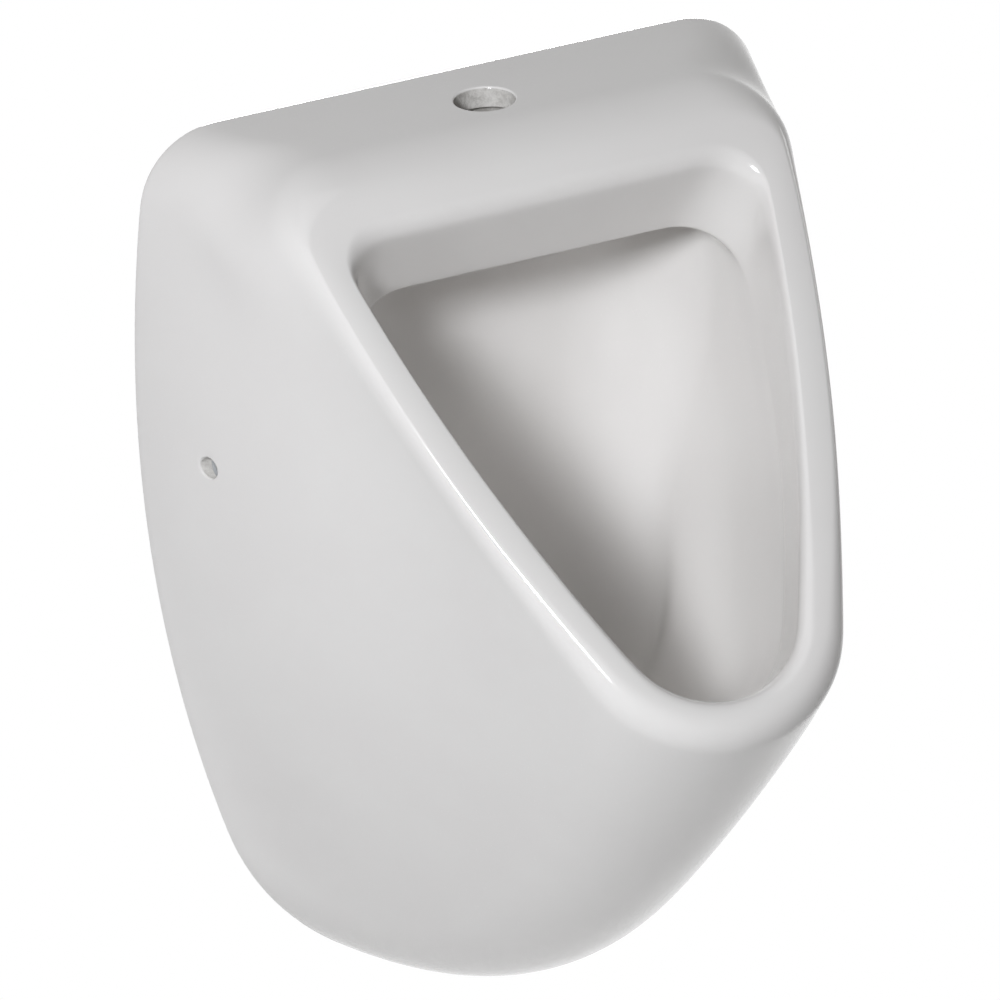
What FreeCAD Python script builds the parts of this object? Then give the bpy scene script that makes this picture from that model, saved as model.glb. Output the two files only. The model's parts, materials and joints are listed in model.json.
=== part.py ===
import FreeCAD, Part
import math
import os
import Sketcher
from FreeCAD import Placement, Rotation, Vector

# Wall hung urinal: a hollow, slip cast bowl of vitreous china that hangs on two
# steel angle brackets, with its waste, bottle trap and wall outlet hidden inside.
# Frame: wall plane at Y = 0 with the bowl at -Y, +X right, +Z up, origin on the
# wall at the foot of the back outline.  All sizes are millimetres.

X_AXIS = Vector(1, 0, 0)
Y_AXIS = Vector(0, 1, 0)
Z_AXIS = Vector(0, 0, 1)
FULL_TURN = 360
QUARTER_TURN = 90

doc = FreeCAD.newDocument("urinal")
sheet = doc.addObject("Spreadsheet::Sheet", "dims")
sheet_rows = []


class Dim:
    """A size as a number together with the expression that yields it."""

    def __init__(self, number, text):
        self.number = number
        self.text = text

    def join(self, other, sign, number):
        other_text = other.text if isinstance(other, Dim) else repr(other)
        return Dim(number, f"({self.text} {sign} {other_text})")

    def __add__(self, other):
        return self.join(other, "+", self.number + plain(other))

    def __sub__(self, other):
        return self.join(other, "-", self.number - plain(other))

    def __mul__(self, other):
        return self.join(other, "*", self.number * plain(other))

    def __truediv__(self, other):
        return self.join(other, "/", self.number / plain(other))

    def __neg__(self):
        return Dim(-self.number, f"(0 - {self.text})")


def plain(value):
    """The number of a Dim, or the number itself."""
    return value.number if isinstance(value, Dim) else value


def text_of(value):
    """The expression of a Dim, or a plain number as text."""
    return value.text if isinstance(value, Dim) else repr(value)


def root(value):
    return Dim(math.sqrt(value.number), f"sqrt({value.text})")


def size(alias, value, meaning):
    """One driving dimension of the sheet: its meaning, number and alias."""
    sheet_rows.append(alias)
    line = len(sheet_rows)
    sheet.set(f"A{line}", meaning)
    sheet.set(f"B{line}", str(value))
    sheet.setAlias(f"B{line}", alias)
    return Dim(float(value), f"dims.{alias}")


# ---------------------------------------------------------------- ceramic sizes
width = size("overall_width", 350, "width across the back, at the wall")
height = size("overall_height", 485, "height of the back outline")
wall = size("china_wall", 11, "thickness of the cast china wall")
rim_depth = size("rim_depth", 26, "solid china behind the rim's face")
round_rim = size("round_rim", 13, "rounding of the rim's outer edge")
round_top = size("round_top", 27, "rounding where the flat top turns into the rim")
round_mouth = size("round_mouth", 3, "rounding of the mouth's edge")
half_width = width / 2


def outline_sizes(key, values):
    """Driving dimensions shared by every outline: inset and three radii."""
    inset, foot, side, corner = values
    return {
        "half": half_width - size(f"{key}_inset", inset, f"{key}: narrower than the back"),
        "foot_radius": size(f"{key}_foot", foot, f"{key}: radius of the foot"),
        "side_radius": size(f"{key}_side", side, f"{key}: radius of the long sides"),
        "corner_radius": size(f"{key}_corner", corner, f"{key}: radius of the top corners"),
    }


def skin_section(key, foot_out, foot_up, top_out, *values):
    """Outer section from its foot point to its flat top at full height."""
    section = outline_sizes(key, values)
    foot_y = -size(f"{key}_foot_out", foot_out, f"{key}: foot point, out from the wall")
    foot_z = size(f"{key}_foot_up", foot_up, f"{key}: height of the foot point")
    top_y = -size(f"{key}_top_out", top_out, f"{key}: flat top, out from the wall")
    section["foot"] = (foot_y, foot_z)
    section["top"] = (top_y, height)
    return section


def direction(section):
    """Unit vector (y, z) from a section's foot to its top."""
    (foot_y, foot_z), (top_y, top_z) = section["foot"], section["top"]
    length = root((top_y - foot_y) * (top_y - foot_y) + (top_z - foot_z) * (top_z - foot_z))
    return (top_y - foot_y) / length, (top_z - foot_z) / length


def grown(section, amount):
    """The same section offset outwards in its own plane."""
    along_y, along_z = direction(section)
    (foot_y, foot_z), (top_y, top_z) = section["foot"], section["top"]
    bigger = {key: section[key] + amount
              for key in ("half", "foot_radius", "side_radius", "corner_radius")}
    bigger["foot"] = (foot_y - along_y * amount, foot_z - along_z * amount)
    bigger["top"] = (top_y + along_y * amount, top_z + along_z * amount)
    return bigger


def set_back(section, amount):
    """The same section moved back into the body, square to its plane."""
    along_y, along_z = direction(section)
    moved = dict(section)
    for end in ("foot", "top"):
        end_y, end_z = section[end]
        moved[end] = (end_y + along_z * amount, end_z - along_y * amount)
    return moved


# Outer skin: foot out, foot up, top out, inset, foot, side and corner radius.
back = skin_section("back", 0, 0, 0, 0, 147, 789, 41)
rear = skin_section("rear", 72, 22, 24, 11, 90, 576, 39.5)
waist = skin_section("waist", 182, 107, 43, 22.5, 63, 690, 43)
rim = skin_section("rim", 323, 260, 86, 37, 71, 963, 28)

# Mouth: the opening in the rim's face, with a narrow lip and a broad top band.
lip_band = size("lip_band", 22.5, "rim width at the lip")
top_band = size("top_band", 36, "rim width at the top")
mouth = outline_sizes("mouth", (51.5, 46, 1000, 21))
rim_y, rim_z = direction(rim)
mouth["foot"] = (rim["foot"][0] + rim_y * lip_band, rim["foot"][1] + rim_z * lip_band)
mouth["top"] = (rim["top"][0] - rim_y * top_band, rim["top"][1] - rim_z * top_band)

# Crease: the edge where the throat behind the rim ends and the bowl begins.
crease = outline_sizes("crease", (70.5, 60, 558, 31))
crease["foot"] = (-size("crease_foot_out", 264, "crease foot, out from the wall"),
                  size("crease_foot_up", 240, "height of the crease foot"))
crease["top"] = (-size("crease_top_out", 93, "crease top, out from the wall"),
                 height - size("crease_top_drop", 65, "crease top, below the top"))


def bowl_section(key, depth, rise, top_out, *values):
    """Section of the bowl behind the crease and parallel to it."""
    section = outline_sizes(key, values)
    along_y, along_z = direction(crease)
    behind = size(f"{key}_depth", depth, f"{key}: depth behind the crease")
    raised = size(f"{key}_rise", rise, f"{key}: foot raised along its plane")
    top_y = -size(f"{key}_top_out", top_out, f"{key}: top, out from the wall")
    foot_y = crease["foot"][0] + along_z * behind + along_y * raised
    foot_z = crease["foot"][1] - along_y * behind + along_z * raised
    section["foot"] = (foot_y, foot_z)
    section["top"] = (top_y, foot_z + (top_y - foot_y) * along_z / along_y)
    return section


# Bowl: depth, foot rise, top out, inset, foot, side and corner radius.
vault = bowl_section("vault", 22, 5, 62, 70, 60, 560, 36)
deep = bowl_section("deep", 60, 15, 40, 71, 58, 560, 48)
deeper = bowl_section("deeper", 112, 46, 36, 79, 54, 560, 46)
sole = bowl_section("sole", 158, 76, 36, 95, 38, 560, 34)

# Sump, drain and flush channel.
drain_out = size("drain_out", 80, "drain axis, out from the wall")
sump_floor = size("sump_floor", 186, "height of the sump floor")
sump_foot = size("sump_foot", 32, "radius of the sump floor")
sump_mouth = size("sump_mouth", 44, "radius where the sump meets the bowl")
sump_depth = size("sump_depth", 75, "height of the sump's sloping wall")
drain_hole = size("drain_hole", 22.5, "radius of the drain hole")
seat_radius = size("seat_radius", 33, "radius of the flat seat under the sump")
inlet_out = size("inlet_out", 43, "inlet axis, out from the wall")
inlet_hole = size("inlet_hole", 15, "radius of the flush inlet")
channel_half = size("channel_half", 62, "half length of the flush channel")
channel_front = size("channel_front", 68, "front of the flush channel")
channel_back = size("channel_back", 26, "back of the flush channel")
channel_drop = size("channel_drop", 45, "flush channel floor, below the top")
channel_tall = size("channel_tall", 20, "height of the flush channel")
jet_radius = size("jet_radius", 3, "radius of a flush jet")
jet_count = 7
jet_step = size("jet_step", 16, "distance between flush jets")
jet_out = size("jet_out", 62, "line of the flush jets, out from the wall")
side_hole = size("side_hole", 5.5, "radius of the side fixing holes")
side_depth = size("side_depth", 30, "depth of the side fixing bores from the full width")
fixing_out = size("fixing_out", 50, "side fixing, out from the wall")
fixing_up = size("fixing_up", 328, "height of the side fixings and wall screws")


def outline_sketch(name, section):
    """Closed outline in the plane of X and the section's foot and top points."""
    (foot_y, foot_z), (top_y, top_z) = section["foot"], section["top"]
    tall = root((top_y - foot_y) * (top_y - foot_y) + (top_z - foot_z) * (top_z - foot_z))
    half = section["half"]
    foot, side, corner = (section[key] for key in ("foot_radius", "side_radius", "corner_radius"))
    foot_turn = math.asin((side.number - half.number) / (side.number - foot.number))
    side_x = half.number - side.number
    side_y = foot.number + (side.number - foot.number) * math.cos(foot_turn)
    lift = tall.number - corner.number - side_y
    corner_x = side_x + math.sqrt((side.number - corner.number) ** 2 - lift ** 2)
    corner_turn = math.atan2(lift, corner_x - side_x)
    corner_y = tall.number - corner.number
    quarter, half_turn = math.pi / 2, math.pi

    sketch = doc.addObject("Sketcher::SketchObject", name)

    def arc(centre_x, centre_y, radius, start, end):
        circle = Part.Circle(Vector(centre_x, centre_y, 0), Z_AXIS, radius)
        return sketch.addGeometry(Part.ArcOfCircle(circle, start, end), False)

    flat_top = Part.LineSegment(Vector(corner_x, tall.number, 0), Vector(-corner_x, tall.number, 0))
    top = sketch.addGeometry(flat_top, False)
    corner_left = arc(-corner_x, corner_y, corner.number, quarter, half_turn - corner_turn)
    side_left = arc(-side_x, side_y, side.number, half_turn - corner_turn,
                    half_turn + quarter - foot_turn)
    bottom = arc(0, foot.number, foot.number, half_turn + quarter - foot_turn,
                 half_turn + quarter + foot_turn)
    side_right = arc(side_x, side_y, side.number, foot_turn - quarter, corner_turn)
    corner_right = arc(corner_x, corner_y, corner.number, corner_turn, quarter)

    rule = Sketcher.Constraint
    ring = [top, corner_left, side_left, bottom, side_right, corner_right]
    for here, after in zip(ring, ring[1:] + ring[:1]):
        sketch.addConstraint(rule("Tangent", here, 2, after, 1))
    sketch.addConstraint(rule("Symmetric", top, 1, top, 2, -2))
    sketch.addConstraint(rule("Equal", corner_left, corner_right))
    sketch.addConstraint(rule("Equal", side_left, side_right))
    sketch.addConstraint(rule("PointOnObject", bottom, 3, -2))

    def drive(label, dim, *constraint):
        index = sketch.addConstraint(rule(*constraint, dim.number))
        sketch.renameConstraint(index, label)
        sketch.setExpression(f"Constraints.{label}", dim.text)

    drive("foot_radius", foot, "Radius", bottom)
    drive("side_radius", side, "Radius", side_right)
    drive("corner_radius", corner, "Radius", corner_right)
    drive("foot_centre", foot, "DistanceY", -1, 1, bottom, 3)
    drive("section_height", tall, "DistanceY", -1, 1, top, 1)
    drive("side_centre", side - half, "DistanceX", side_right, 3, -1, 1)

    lean = math.degrees(math.atan2(top_z.number - foot_z.number, top_y.number - foot_y.number))
    sketch.Placement = Placement(Vector(0, foot_y.number, foot_z.number), Rotation(X_AXIS, lean))
    sketch.setExpression("Placement.Base.y", foot_y.text)
    sketch.setExpression("Placement.Base.z", foot_z.text)
    sketch.setExpression("Placement.Rotation.Angle",
                         f"atan2({(top_z - foot_z).text}; {(top_y - foot_y).text})")
    return sketch


def loft(name, sections, ruled=False):
    """Solid through a row of named sections."""
    solid = doc.addObject("Part::Loft", name)
    solid.Sections = [outline_sketch(f"{name}_{index}", section)
                      for index, section in enumerate(sections)]
    solid.Solid = True
    solid.Ruled = ruled
    return solid


def bind(thing, **sizes):
    """Set and bind plain properties of a primitive."""
    for key, dim in sizes.items():
        setattr(thing, key, plain(dim))
        thing.setExpression(key, text_of(dim))
    return thing


def place(thing, at=(0, 0, 0), axis=Z_AXIS, angle=0):
    """Put a thing at (x, y, z), turned about an axis, with the place bound."""
    x, y, z = at
    thing.Placement = Placement(Vector(plain(x), plain(y), plain(z)), Rotation(axis, angle))
    for key, dim in zip("xyz", at):
        if isinstance(dim, Dim):
            thing.setExpression(f"Placement.Base.{key}", dim.text)
    return thing


def cylinder(name, radius, length, at, axis=Z_AXIS, angle=0):
    """Cylinder from its base centre along its turned axis."""
    thing = bind(doc.addObject("Part::Cylinder", name), Radius=radius, Height=length)
    return place(thing, at, axis, angle)


def box(name, length, depth, tall, at):
    thing = bind(doc.addObject("Part::Box", name), Length=length, Width=depth, Height=tall)
    return place(thing, at)


def joined(name, shapes):
    thing = doc.addObject("Part::MultiFuse", name)
    thing.Shapes = shapes
    return thing


touch = 0.01    # how near two places count as the same


def cut(name, base, tool):
    thing = doc.addObject("Part::Cut", name)
    thing.Base = base
    thing.Tool = tool
    return thing


def rim_face_edges(shape, section):
    """Edges of a shape that lie in a section's plane, as (number, edge)."""
    along_y, along_z = (part.number for part in direction(section))
    square = Vector(0, -along_z, along_y)
    foot = Vector(0, section["foot"][0].number, section["foot"][1].number)
    found = []
    for number, edge in enumerate(shape.Edges, 1):
        samples = [edge.valueAt(edge.getParameterByLength(edge.Length * share))
                   for share in (0, 0.5, 1)]
        if all(abs((sample - foot).dot(square)) < touch for sample in samples):
            found.append((number, edge))
    return found


def rounded_rim(name, base):
    """Round the rim's outer edge, more along the top than round the sides."""
    doc.recompute()
    along_top = base.Shape.BoundBox.ZMax - round_rim.number / 10
    edges = []
    for number, edge in rim_face_edges(base.Shape, rim):
        ends = (edge.valueAt(edge.FirstParameter), edge.valueAt(edge.LastParameter))
        radii = [round_top.number if end.z > along_top else round_rim.number for end in ends]
        edges.append((number, *radii))
    thing = doc.addObject("Part::Fillet", name)
    thing.Base = base
    thing.Edges = edges
    return thing


def mouth_rounding(name):
    """Flared start of the throat that breaks the rim's inner edge in two facets."""
    turns = (0, math.pi / 4, math.pi / 2)
    return loft(name, [grown(set_back(mouth, round_mouth * (1 - math.cos(turn))),
                             round_mouth * (1 - math.sin(turn))) for turn in turns], ruled=True)


def channel_box(name, margin, top_margin):
    """Flush channel behind the top band, or the china block round it."""
    return box(name, channel_half * 2 + margin * 2, channel_front - channel_back + margin * 2,
               channel_tall + margin + top_margin,
               (-channel_half - margin, -channel_front - margin,
                height - channel_drop - margin))


def sump(name, margin):
    """Round sump at the foot of the bowl, or the china round it."""
    cone = bind(doc.addObject("Part::Cone", name), Radius1=sump_foot + margin,
                Radius2=sump_mouth + margin, Height=sump_depth + margin)
    return place(cone, (0, -drain_out, sump_floor - margin))


# ------------------------------------------------------------- the china body
def ceramic_body():
    outer = rounded_rim("outer_skin", loft("outer_loft", [back, rear, waist, rim]))
    inner_rim = grown(set_back(rim, rim_depth), -wall - 1)
    hollow = loft("hollow", [grown(back, -wall), grown(rear, -wall), grown(waist, -wall), inner_rim])
    bowl_china = joined("bowl_china", [
        loft("throat_china", [grown(mouth, wall), grown(crease, wall)], ruled=True),
        loft("dish_china", [grown(part, wall) for part in (crease, vault, deep, deeper)]
             + [set_back(grown(sole, wall), wall)]),
        sump("sump_china", wall),
        channel_box("channel_china", wall, wall),
        cylinder("inlet_china", inlet_hole + wall, channel_drop,
                 (0, -inlet_out, height - channel_drop)),
    ])
    shell = cut("shell", outer, cut("void", hollow, bowl_china))
    clear = wall * 3
    jets = [cylinder(f"jet_{index}", jet_radius, clear,
                     (jet_step * (index - (jet_count - 1) / 2), -jet_out,
                      height - channel_drop - clear + 1))
            for index in range(jet_count)]
    openings = joined("openings", [
        mouth_rounding("mouth_round"),
        loft("throat", [set_back(mouth, round_mouth), crease], ruled=True),
        loft("dish", [crease, vault, deep, deeper, sole]),
        sump("sump", Dim(0, "0")),
        channel_box("channel", Dim(0, "0"), Dim(0, "0")),
        cylinder("inlet_bore", inlet_hole, channel_drop, (0, -inlet_out, height - channel_drop + 1)),
        cylinder("drain_bore", drain_hole, clear, (0, -drain_out, sump_floor - clear + 1)),
        cylinder("nut_seat", seat_radius, clear, (0, -drain_out, sump_floor - wall - clear)),
        cylinder("side_bore_left", side_hole, side_depth, (-half_width, -fixing_out, fixing_up),
                 Y_AXIS, QUARTER_TURN),
        cylinder("side_bore_right", side_hole, side_depth, (half_width, -fixing_out, fixing_up),
                 Y_AXIS, -QUARTER_TURN),
    ] + jets)
    return cut("ceramic_body", shell, openings)


# ----------------------------------------------------- waste, trap and outlet
# The waste stack stands on the drain axis.  Heights count down from the sump
# floor, so that everything follows the china when the sump moves.
gap = size("fit_gap", 0.3, "running clearance between fitted pieces")
tube_wall = size("tube_wall", 2.5, "wall of the plastic pipes")
flange_radius = size("flange_radius", 30, "radius of the waste flange")
flange_thick = size("flange_thick", 3, "thickness of the waste flange")
waste_radius = size("waste_radius", 20, "outer radius of the waste tube")
waste_length = size("waste_length", 41, "waste tube below the sump floor")
gasket_thin = size("gasket_thin", 1.5, "flat gasket under the waste flange")
gasket_thick = size("gasket_thick", 3, "gasket under the china")
nut_height = size("nut_height", 8, "height of the waste back nut")
nut_radius = size("nut_radius", 29, "outer radius of the waste back nut")
union_height = size("union_height", 17, "height of the union nuts")
union_radius = size("union_radius", 28, "outer radius of the union nuts")
union_drop = size("union_drop", 25, "top of the trap's union nut below the sump floor")
seal_height = size("seal_height", 5, "height of a cone seal")
grip_count = 10
grip_radius = size("grip_radius", 1.6, "radius of the finger grips on the nuts")
head_radius = size("head_radius", 30, "outer radius of the trap head")
head_top = size("head_top", 38, "top of the trap head below the sump floor")
head_height = size("head_height", 60, "height of the trap head")
collar_radius = size("collar_radius", 24.5, "outer radius of the trap head's collar")
outlet_drop = size("outlet_drop", 66, "outlet axis below the sump floor")
dip_radius = size("dip_radius", 15, "outer radius of the dip tube")
dip_length = size("dip_length", 78, "length of the dip tube")
cup_radius = size("cup_radius", 33, "outer radius of the trap cup")
cup_height = size("cup_height", 42, "height of the trap cup")
cup_top = size("cup_top", 90, "top of the trap cup below the sump floor")
cup_round = size("cup_round", 12, "sloping edge at the cup's foot")
cup_engage = size("cup_engage", 8, "thread of the cup on the trap head")
cup_seal_height = size("cup_seal_height", 2.5, "height of the cup's flat seal")
pipe_radius = size("pipe_radius", 20, "outer radius of the outlet pipe")
pipe_in_wall = size("pipe_in_wall", 48, "outlet pipe beyond the wall plane")
branch_out = size("branch_out", 26, "end of the trap head's branch, out from the wall")
branch_radius = pipe_radius + gap + tube_wall
pipe_in_branch = size("pipe_in_branch", 18, "outlet pipe inside the trap head's branch")
dip_flange = size("dip_flange", 1.2, "thickness of the dip tube's flange")
nut_lip = size("nut_lip", 3, "thickness of a union nut's lip")
lip_seal_radius = size("lip_seal_radius", 29, "outer radius of the wall seal")
lip_seal_length = size("lip_seal_length", 26, "length of the wall seal")
lip_seal_in = size("lip_seal_in", 8, "wall seal begins beyond the wall plane")
strainer_radius = size("strainer_radius", 25, "radius of the domed strainer")
strainer_rise = size("strainer_rise", 9, "height of the strainer's dome")
strainer_thick = size("strainer_thick", 2, "thickness of the strainer")

drain_y = -drain_out
floor_z = sump_floor


def new_body(label):
    """A named piece with a place of its own."""
    body = doc.addObject("PartDesign::Body", label)
    body.Label = label
    return body


def plane(body, role):
    return next(part for part in body.Origin.OriginFeatures if part.Role == role)


def profile(body, name, role, points, centre=None):
    """Closed straight-sided profile; every corner is bound to the sheet."""
    sketch = body.newObject("Sketcher::SketchObject", name)
    sketch.AttachmentSupport = [(plane(body, role), "")]
    sketch.MapMode = "FlatFace"
    corners = [Vector(plain(x), plain(y), 0) for x, y in points]
    lines = [sketch.addGeometry(Part.LineSegment(start, end), False)
             for start, end in zip(corners, corners[1:] + corners[:1])]
    rule = Sketcher.Constraint
    for here, after in zip(lines, lines[1:] + lines[:1]):
        sketch.addConstraint(rule("Coincident", here, 2, after, 1))
    for number, (line, point) in enumerate(zip(lines, points)):
        for kind, side, dim in zip(("DistanceX", "DistanceY"), (-2, -1), point):
            if plain(dim) == 0:
                sketch.addConstraint(rule("PointOnObject", line, 1, side))
                continue
            index = sketch.addConstraint(rule(kind, -1, 1, line, 1, plain(dim)))
            label = f"{kind.lower()}_{number}"
            sketch.renameConstraint(index, label)
            sketch.setExpression(f"Constraints.{label}", text_of(dim))
    return sketch


def turned(body, points, name="turning"):
    """Revolve a profile of (radius, height) corners about the body's Z axis."""
    sketch = profile(body, f"{name}_profile", "XZ_Plane", points)
    solid = body.newObject("PartDesign::Revolution", name)
    solid.Profile = sketch
    solid.ReferenceAxis = (sketch, ["V_Axis"])
    solid.Angle = FULL_TURN
    sketch.Visibility = False
    return solid


def circle_sketch(body, name, role, radius, at=(0, 0)):
    """Circle on a plane of the body, with radius and centre bound."""
    sketch = body.newObject("Sketcher::SketchObject", name)
    sketch.AttachmentSupport = [(plane(body, role), "")]
    sketch.MapMode = "FlatFace"
    x, y = at
    ring = sketch.addGeometry(Part.Circle(Vector(plain(x), plain(y), 0), Z_AXIS, plain(radius)), False)
    rule = Sketcher.Constraint
    index = sketch.addConstraint(rule("Radius", ring, plain(radius)))
    sketch.setExpression(f"Constraints[{index}]", text_of(radius))
    for kind, side, dim in zip(("DistanceX", "DistanceY"), (-2, -1), at):
        if plain(dim) == 0:
            sketch.addConstraint(rule("PointOnObject", ring, 3, side))
            continue
        index = sketch.addConstraint(rule(kind, -1, 1, ring, 3, plain(dim)))
        sketch.setExpression(f"Constraints[{index}]", text_of(dim))
    return sketch


def ring(label, inner, outer, tall, at, axis=Z_AXIS, angle=0):
    """Flat ring, washer, gasket or straight pipe."""
    body = new_body(label)
    turned(body, [(inner, 0), (outer, 0), (outer, tall), (inner, tall)])
    place(body, at, axis, angle)
    return body


def gripped_nut(label, inner, outer, tall, at, axis=Z_AXIS, angle=0, lip=None):
    """Round plastic nut with finger grips; a lip closes its far end."""
    body = new_body(label)
    points = [(inner, 0), (outer, 0), (outer, tall), (inner, tall)]
    if lip is not None:
        lip_inner, lip_tall = lip
        points = [(inner, 0), (outer, 0), (outer, tall), (lip_inner, tall),
                  (lip_inner, tall - lip_tall), (inner, tall - lip_tall)]
    turned(body, points)
    groove = circle_sketch(body, "grip_profile", "XY_Plane", grip_radius, (outer + grip_radius / 2, 0))
    grip = body.newObject("PartDesign::Pocket", "grip")
    grip.Profile = groove
    grip.Type = 1
    grip.Reversed = True
    grips = body.newObject("PartDesign::PolarPattern", "grips")
    grips.Originals = [grip]
    grips.Axis = (groove, ["N_Axis"])
    grips.Angle = FULL_TURN
    grips.Occurrences = grip_count
    body.Tip = grips
    place(body, at, axis, angle)
    return body


def strainer():
    """Domed strainer that drops into the waste flange and lifts out by hand."""
    body = new_body("strainer")
    rim_out = strainer_radius
    skirt = strainer_thick * 2
    flat = strainer_radius * 0.35
    turned(body, [(0, strainer_rise - strainer_thick), (flat, strainer_rise - strainer_thick),
                  (rim_out - skirt, 0), (rim_out, 0), (rim_out, strainer_thick),
                  (rim_out - skirt, strainer_thick), (flat, strainer_rise), (0, strainer_rise)], "dome")
    for name, share, hole_share, count in (("inner", 0.24, 0.085, 6), ("outer", 0.58, 0.1, 12)):
        hole = circle_sketch(body, f"{name}_hole_profile", "XY_Plane",
                             strainer_radius * hole_share, (strainer_radius * share, 0))
        slot = body.newObject("PartDesign::Pocket", f"{name}_hole")
        slot.Profile = hole
        slot.Type = 1
        slot.Reversed = True
        holes = body.newObject("PartDesign::PolarPattern", f"{name}_holes")
        holes.Originals = [slot]
        holes.Axis = (hole, ["N_Axis"])
        holes.Angle = FULL_TURN
        holes.Occurrences = count
        body.Tip = holes
    place(body, (0, drain_y, floor_z + gasket_thin + flange_thick))
    return body


def drain_waste():
    """Flanged waste tube that clamps the china floor between two gaskets."""
    body = new_body("drain_waste")
    bore = waste_radius - tube_wall
    tube_top = gasket_thin + flange_thick
    turned(body, [(bore, -waste_length), (waste_radius, -waste_length), (waste_radius, gasket_thin),
                  (flange_radius, gasket_thin), (flange_radius, tube_top), (bore, tube_top)])
    place(body, (0, drain_y, floor_z))
    return body


def trap_head():
    """Trap head: collar, chamber with the cup's thread, and branch to the wall."""
    body = new_body("trap_head")
    socket = waste_radius + gap
    chamber = head_radius - tube_wall
    shoulder = -tube_wall * 2
    roof = shoulder - tube_wall
    seat = dip_radius + gap
    turned(body, [(0, -head_height), (head_radius, -head_height), (head_radius, shoulder),
                  (collar_radius, shoulder), (collar_radius, 0), (0, 0)])
    outlet_z = head_top - outlet_drop
    branch_end = drain_out - branch_out
    boss = circle_sketch(body, "branch_profile", "XZ_Plane", branch_radius, (0, outlet_z))
    branch = body.newObject("PartDesign::Pad", "branch")
    branch.Profile = boss
    bind(branch, Length=branch_end)
    branch.Reversed = True
    inside = profile(body, "inside_profile", "XZ_Plane", [
        (0, -head_height), (chamber, -head_height), (chamber, roof), (seat, roof),
        (seat, shoulder), (socket, shoulder), (socket, 0), (0, 0)])
    chamber_cut = body.newObject("PartDesign::Groove", "inside")
    chamber_cut.Profile = inside
    chamber_cut.ReferenceAxis = (inside, ["V_Axis"])
    chamber_cut.Angle = FULL_TURN
    bore = circle_sketch(body, "branch_bore_profile", "XZ_Plane", pipe_radius + gap, (0, outlet_z))
    hole = body.newObject("PartDesign::Pocket", "branch_bore")
    hole.Profile = bore
    bind(hole, Length=branch_end + 1)
    return place(body, (0, drain_y, floor_z - head_top))


def trap_cup():
    """Screw-on cup that holds the water seal and catches deposits."""
    body = new_body("trap_cup")
    inner = head_radius - tube_wall - gap
    socket = head_radius + gap
    ledge = cup_height - cup_engage - cup_seal_height
    slope = cup_round
    turned(body, [(0, 0), (cup_radius - slope, 0), (cup_radius, slope), (cup_radius, cup_height),
                  (socket, cup_height), (socket, ledge), (inner, ledge),
                  (inner, slope + tube_wall), (inner - slope, tube_wall), (0, tube_wall)])
    return place(body, (0, drain_y, floor_z - cup_top - cup_height))


def dip_tube():
    """Tube that leads the water down below the seal; its flange sits in the head."""
    body = new_body("dip_tube")
    bore = dip_radius - tube_wall
    turned(body, [(bore, dip_flange - dip_length), (dip_radius, dip_flange - dip_length),
                  (dip_radius, 0), (waste_radius, 0), (waste_radius, dip_flange), (bore, dip_flange)])
    return place(body, (0, drain_y, floor_z - head_top - tube_wall * 2))


def waste_and_trap():
    """Every piece between the sump and the wall outlet, from the top down."""
    nut_top = floor_z - wall - gasket_thick
    seat_y = -branch_out
    return [
        strainer(),
        ring("waste_gasket_upper", drain_hole, flange_radius, gasket_thin, (0, drain_y, floor_z)),
        drain_waste(),
        ring("waste_gasket_lower", waste_radius + gap, nut_radius + 2, gasket_thick, (0, drain_y, nut_top)),
        gripped_nut("waste_back_nut", waste_radius + gap, nut_radius, nut_height,
                    (0, drain_y, nut_top - nut_height)),
        gripped_nut("trap_union_nut", collar_radius + gap, union_radius, union_height,
                    (0, drain_y, floor_z - union_drop - union_height),
                    lip=(waste_radius + gap, nut_lip)),
        ring("trap_inlet_seal", waste_radius, collar_radius, seal_height, (0, drain_y, floor_z - head_top)),
        trap_head(),
        dip_tube(),
        ring("cup_seal", head_radius - tube_wall, head_radius, cup_seal_height,
             (0, drain_y, floor_z - head_top - head_height - cup_seal_height)),
        trap_cup(),
        gripped_nut("outlet_union_nut", branch_radius + gap, union_radius, union_height,
                    (0, seat_y - union_height / 2, floor_z - outlet_drop), X_AXIS, -QUARTER_TURN,
                    lip=(pipe_radius + gap, nut_lip)),
        ring("outlet_seal", pipe_radius, branch_radius, seal_height,
             (0, seat_y, floor_z - outlet_drop), X_AXIS, -QUARTER_TURN),
        ring("outlet_pipe", pipe_radius - tube_wall, pipe_radius, branch_out + pipe_in_branch + pipe_in_wall,
             (0, seat_y - pipe_in_branch, floor_z - outlet_drop), X_AXIS, -QUARTER_TURN),
        ring("wall_outlet_seal", pipe_radius, lip_seal_radius, lip_seal_length,
             (0, lip_seal_in, floor_z - outlet_drop), X_AXIS, -QUARTER_TURN),
    ]


# --------------------------------------------------------------- wall fixings
arm_inset = size("arm_inset", 33, "bracket arm, in from the full width")
plate = size("bracket_plate", 4, "thickness of the bracket steel")
arm_reach = size("arm_reach", 60, "bracket arm, out from the wall")
foot_width = size("bracket_foot", 38, "width of the bracket's wall plate")
bracket_tall = size("bracket_tall", 56, "height of the bracket")
bend_radius = size("bend_radius", 3, "inner radius of the bracket's bend")
screw_inset = size("screw_inset", 53, "wall screw, in from the full width")
screw_radius = size("screw_radius", 4, "radius of the screws")
slot_length = size("slot_length", 22, "length of the bracket's wall slot")
head_across = size("head_across", 7.5, "corner radius of the screw's hexagon head")
head_thick = size("head_thick", 5.5, "height of the screw's hexagon head")
washer_radius = size("washer_radius", 12, "radius of the washers")
washer_thick = size("washer_thick", 1.6, "thickness of the washers")
screw_in_wall = size("screw_in_wall", 62, "wall screw beyond the wall plane")
plug_radius = size("plug_radius", 6, "radius of the wall plugs")
plug_length = size("plug_length", 60, "length of the wall plugs")
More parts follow.
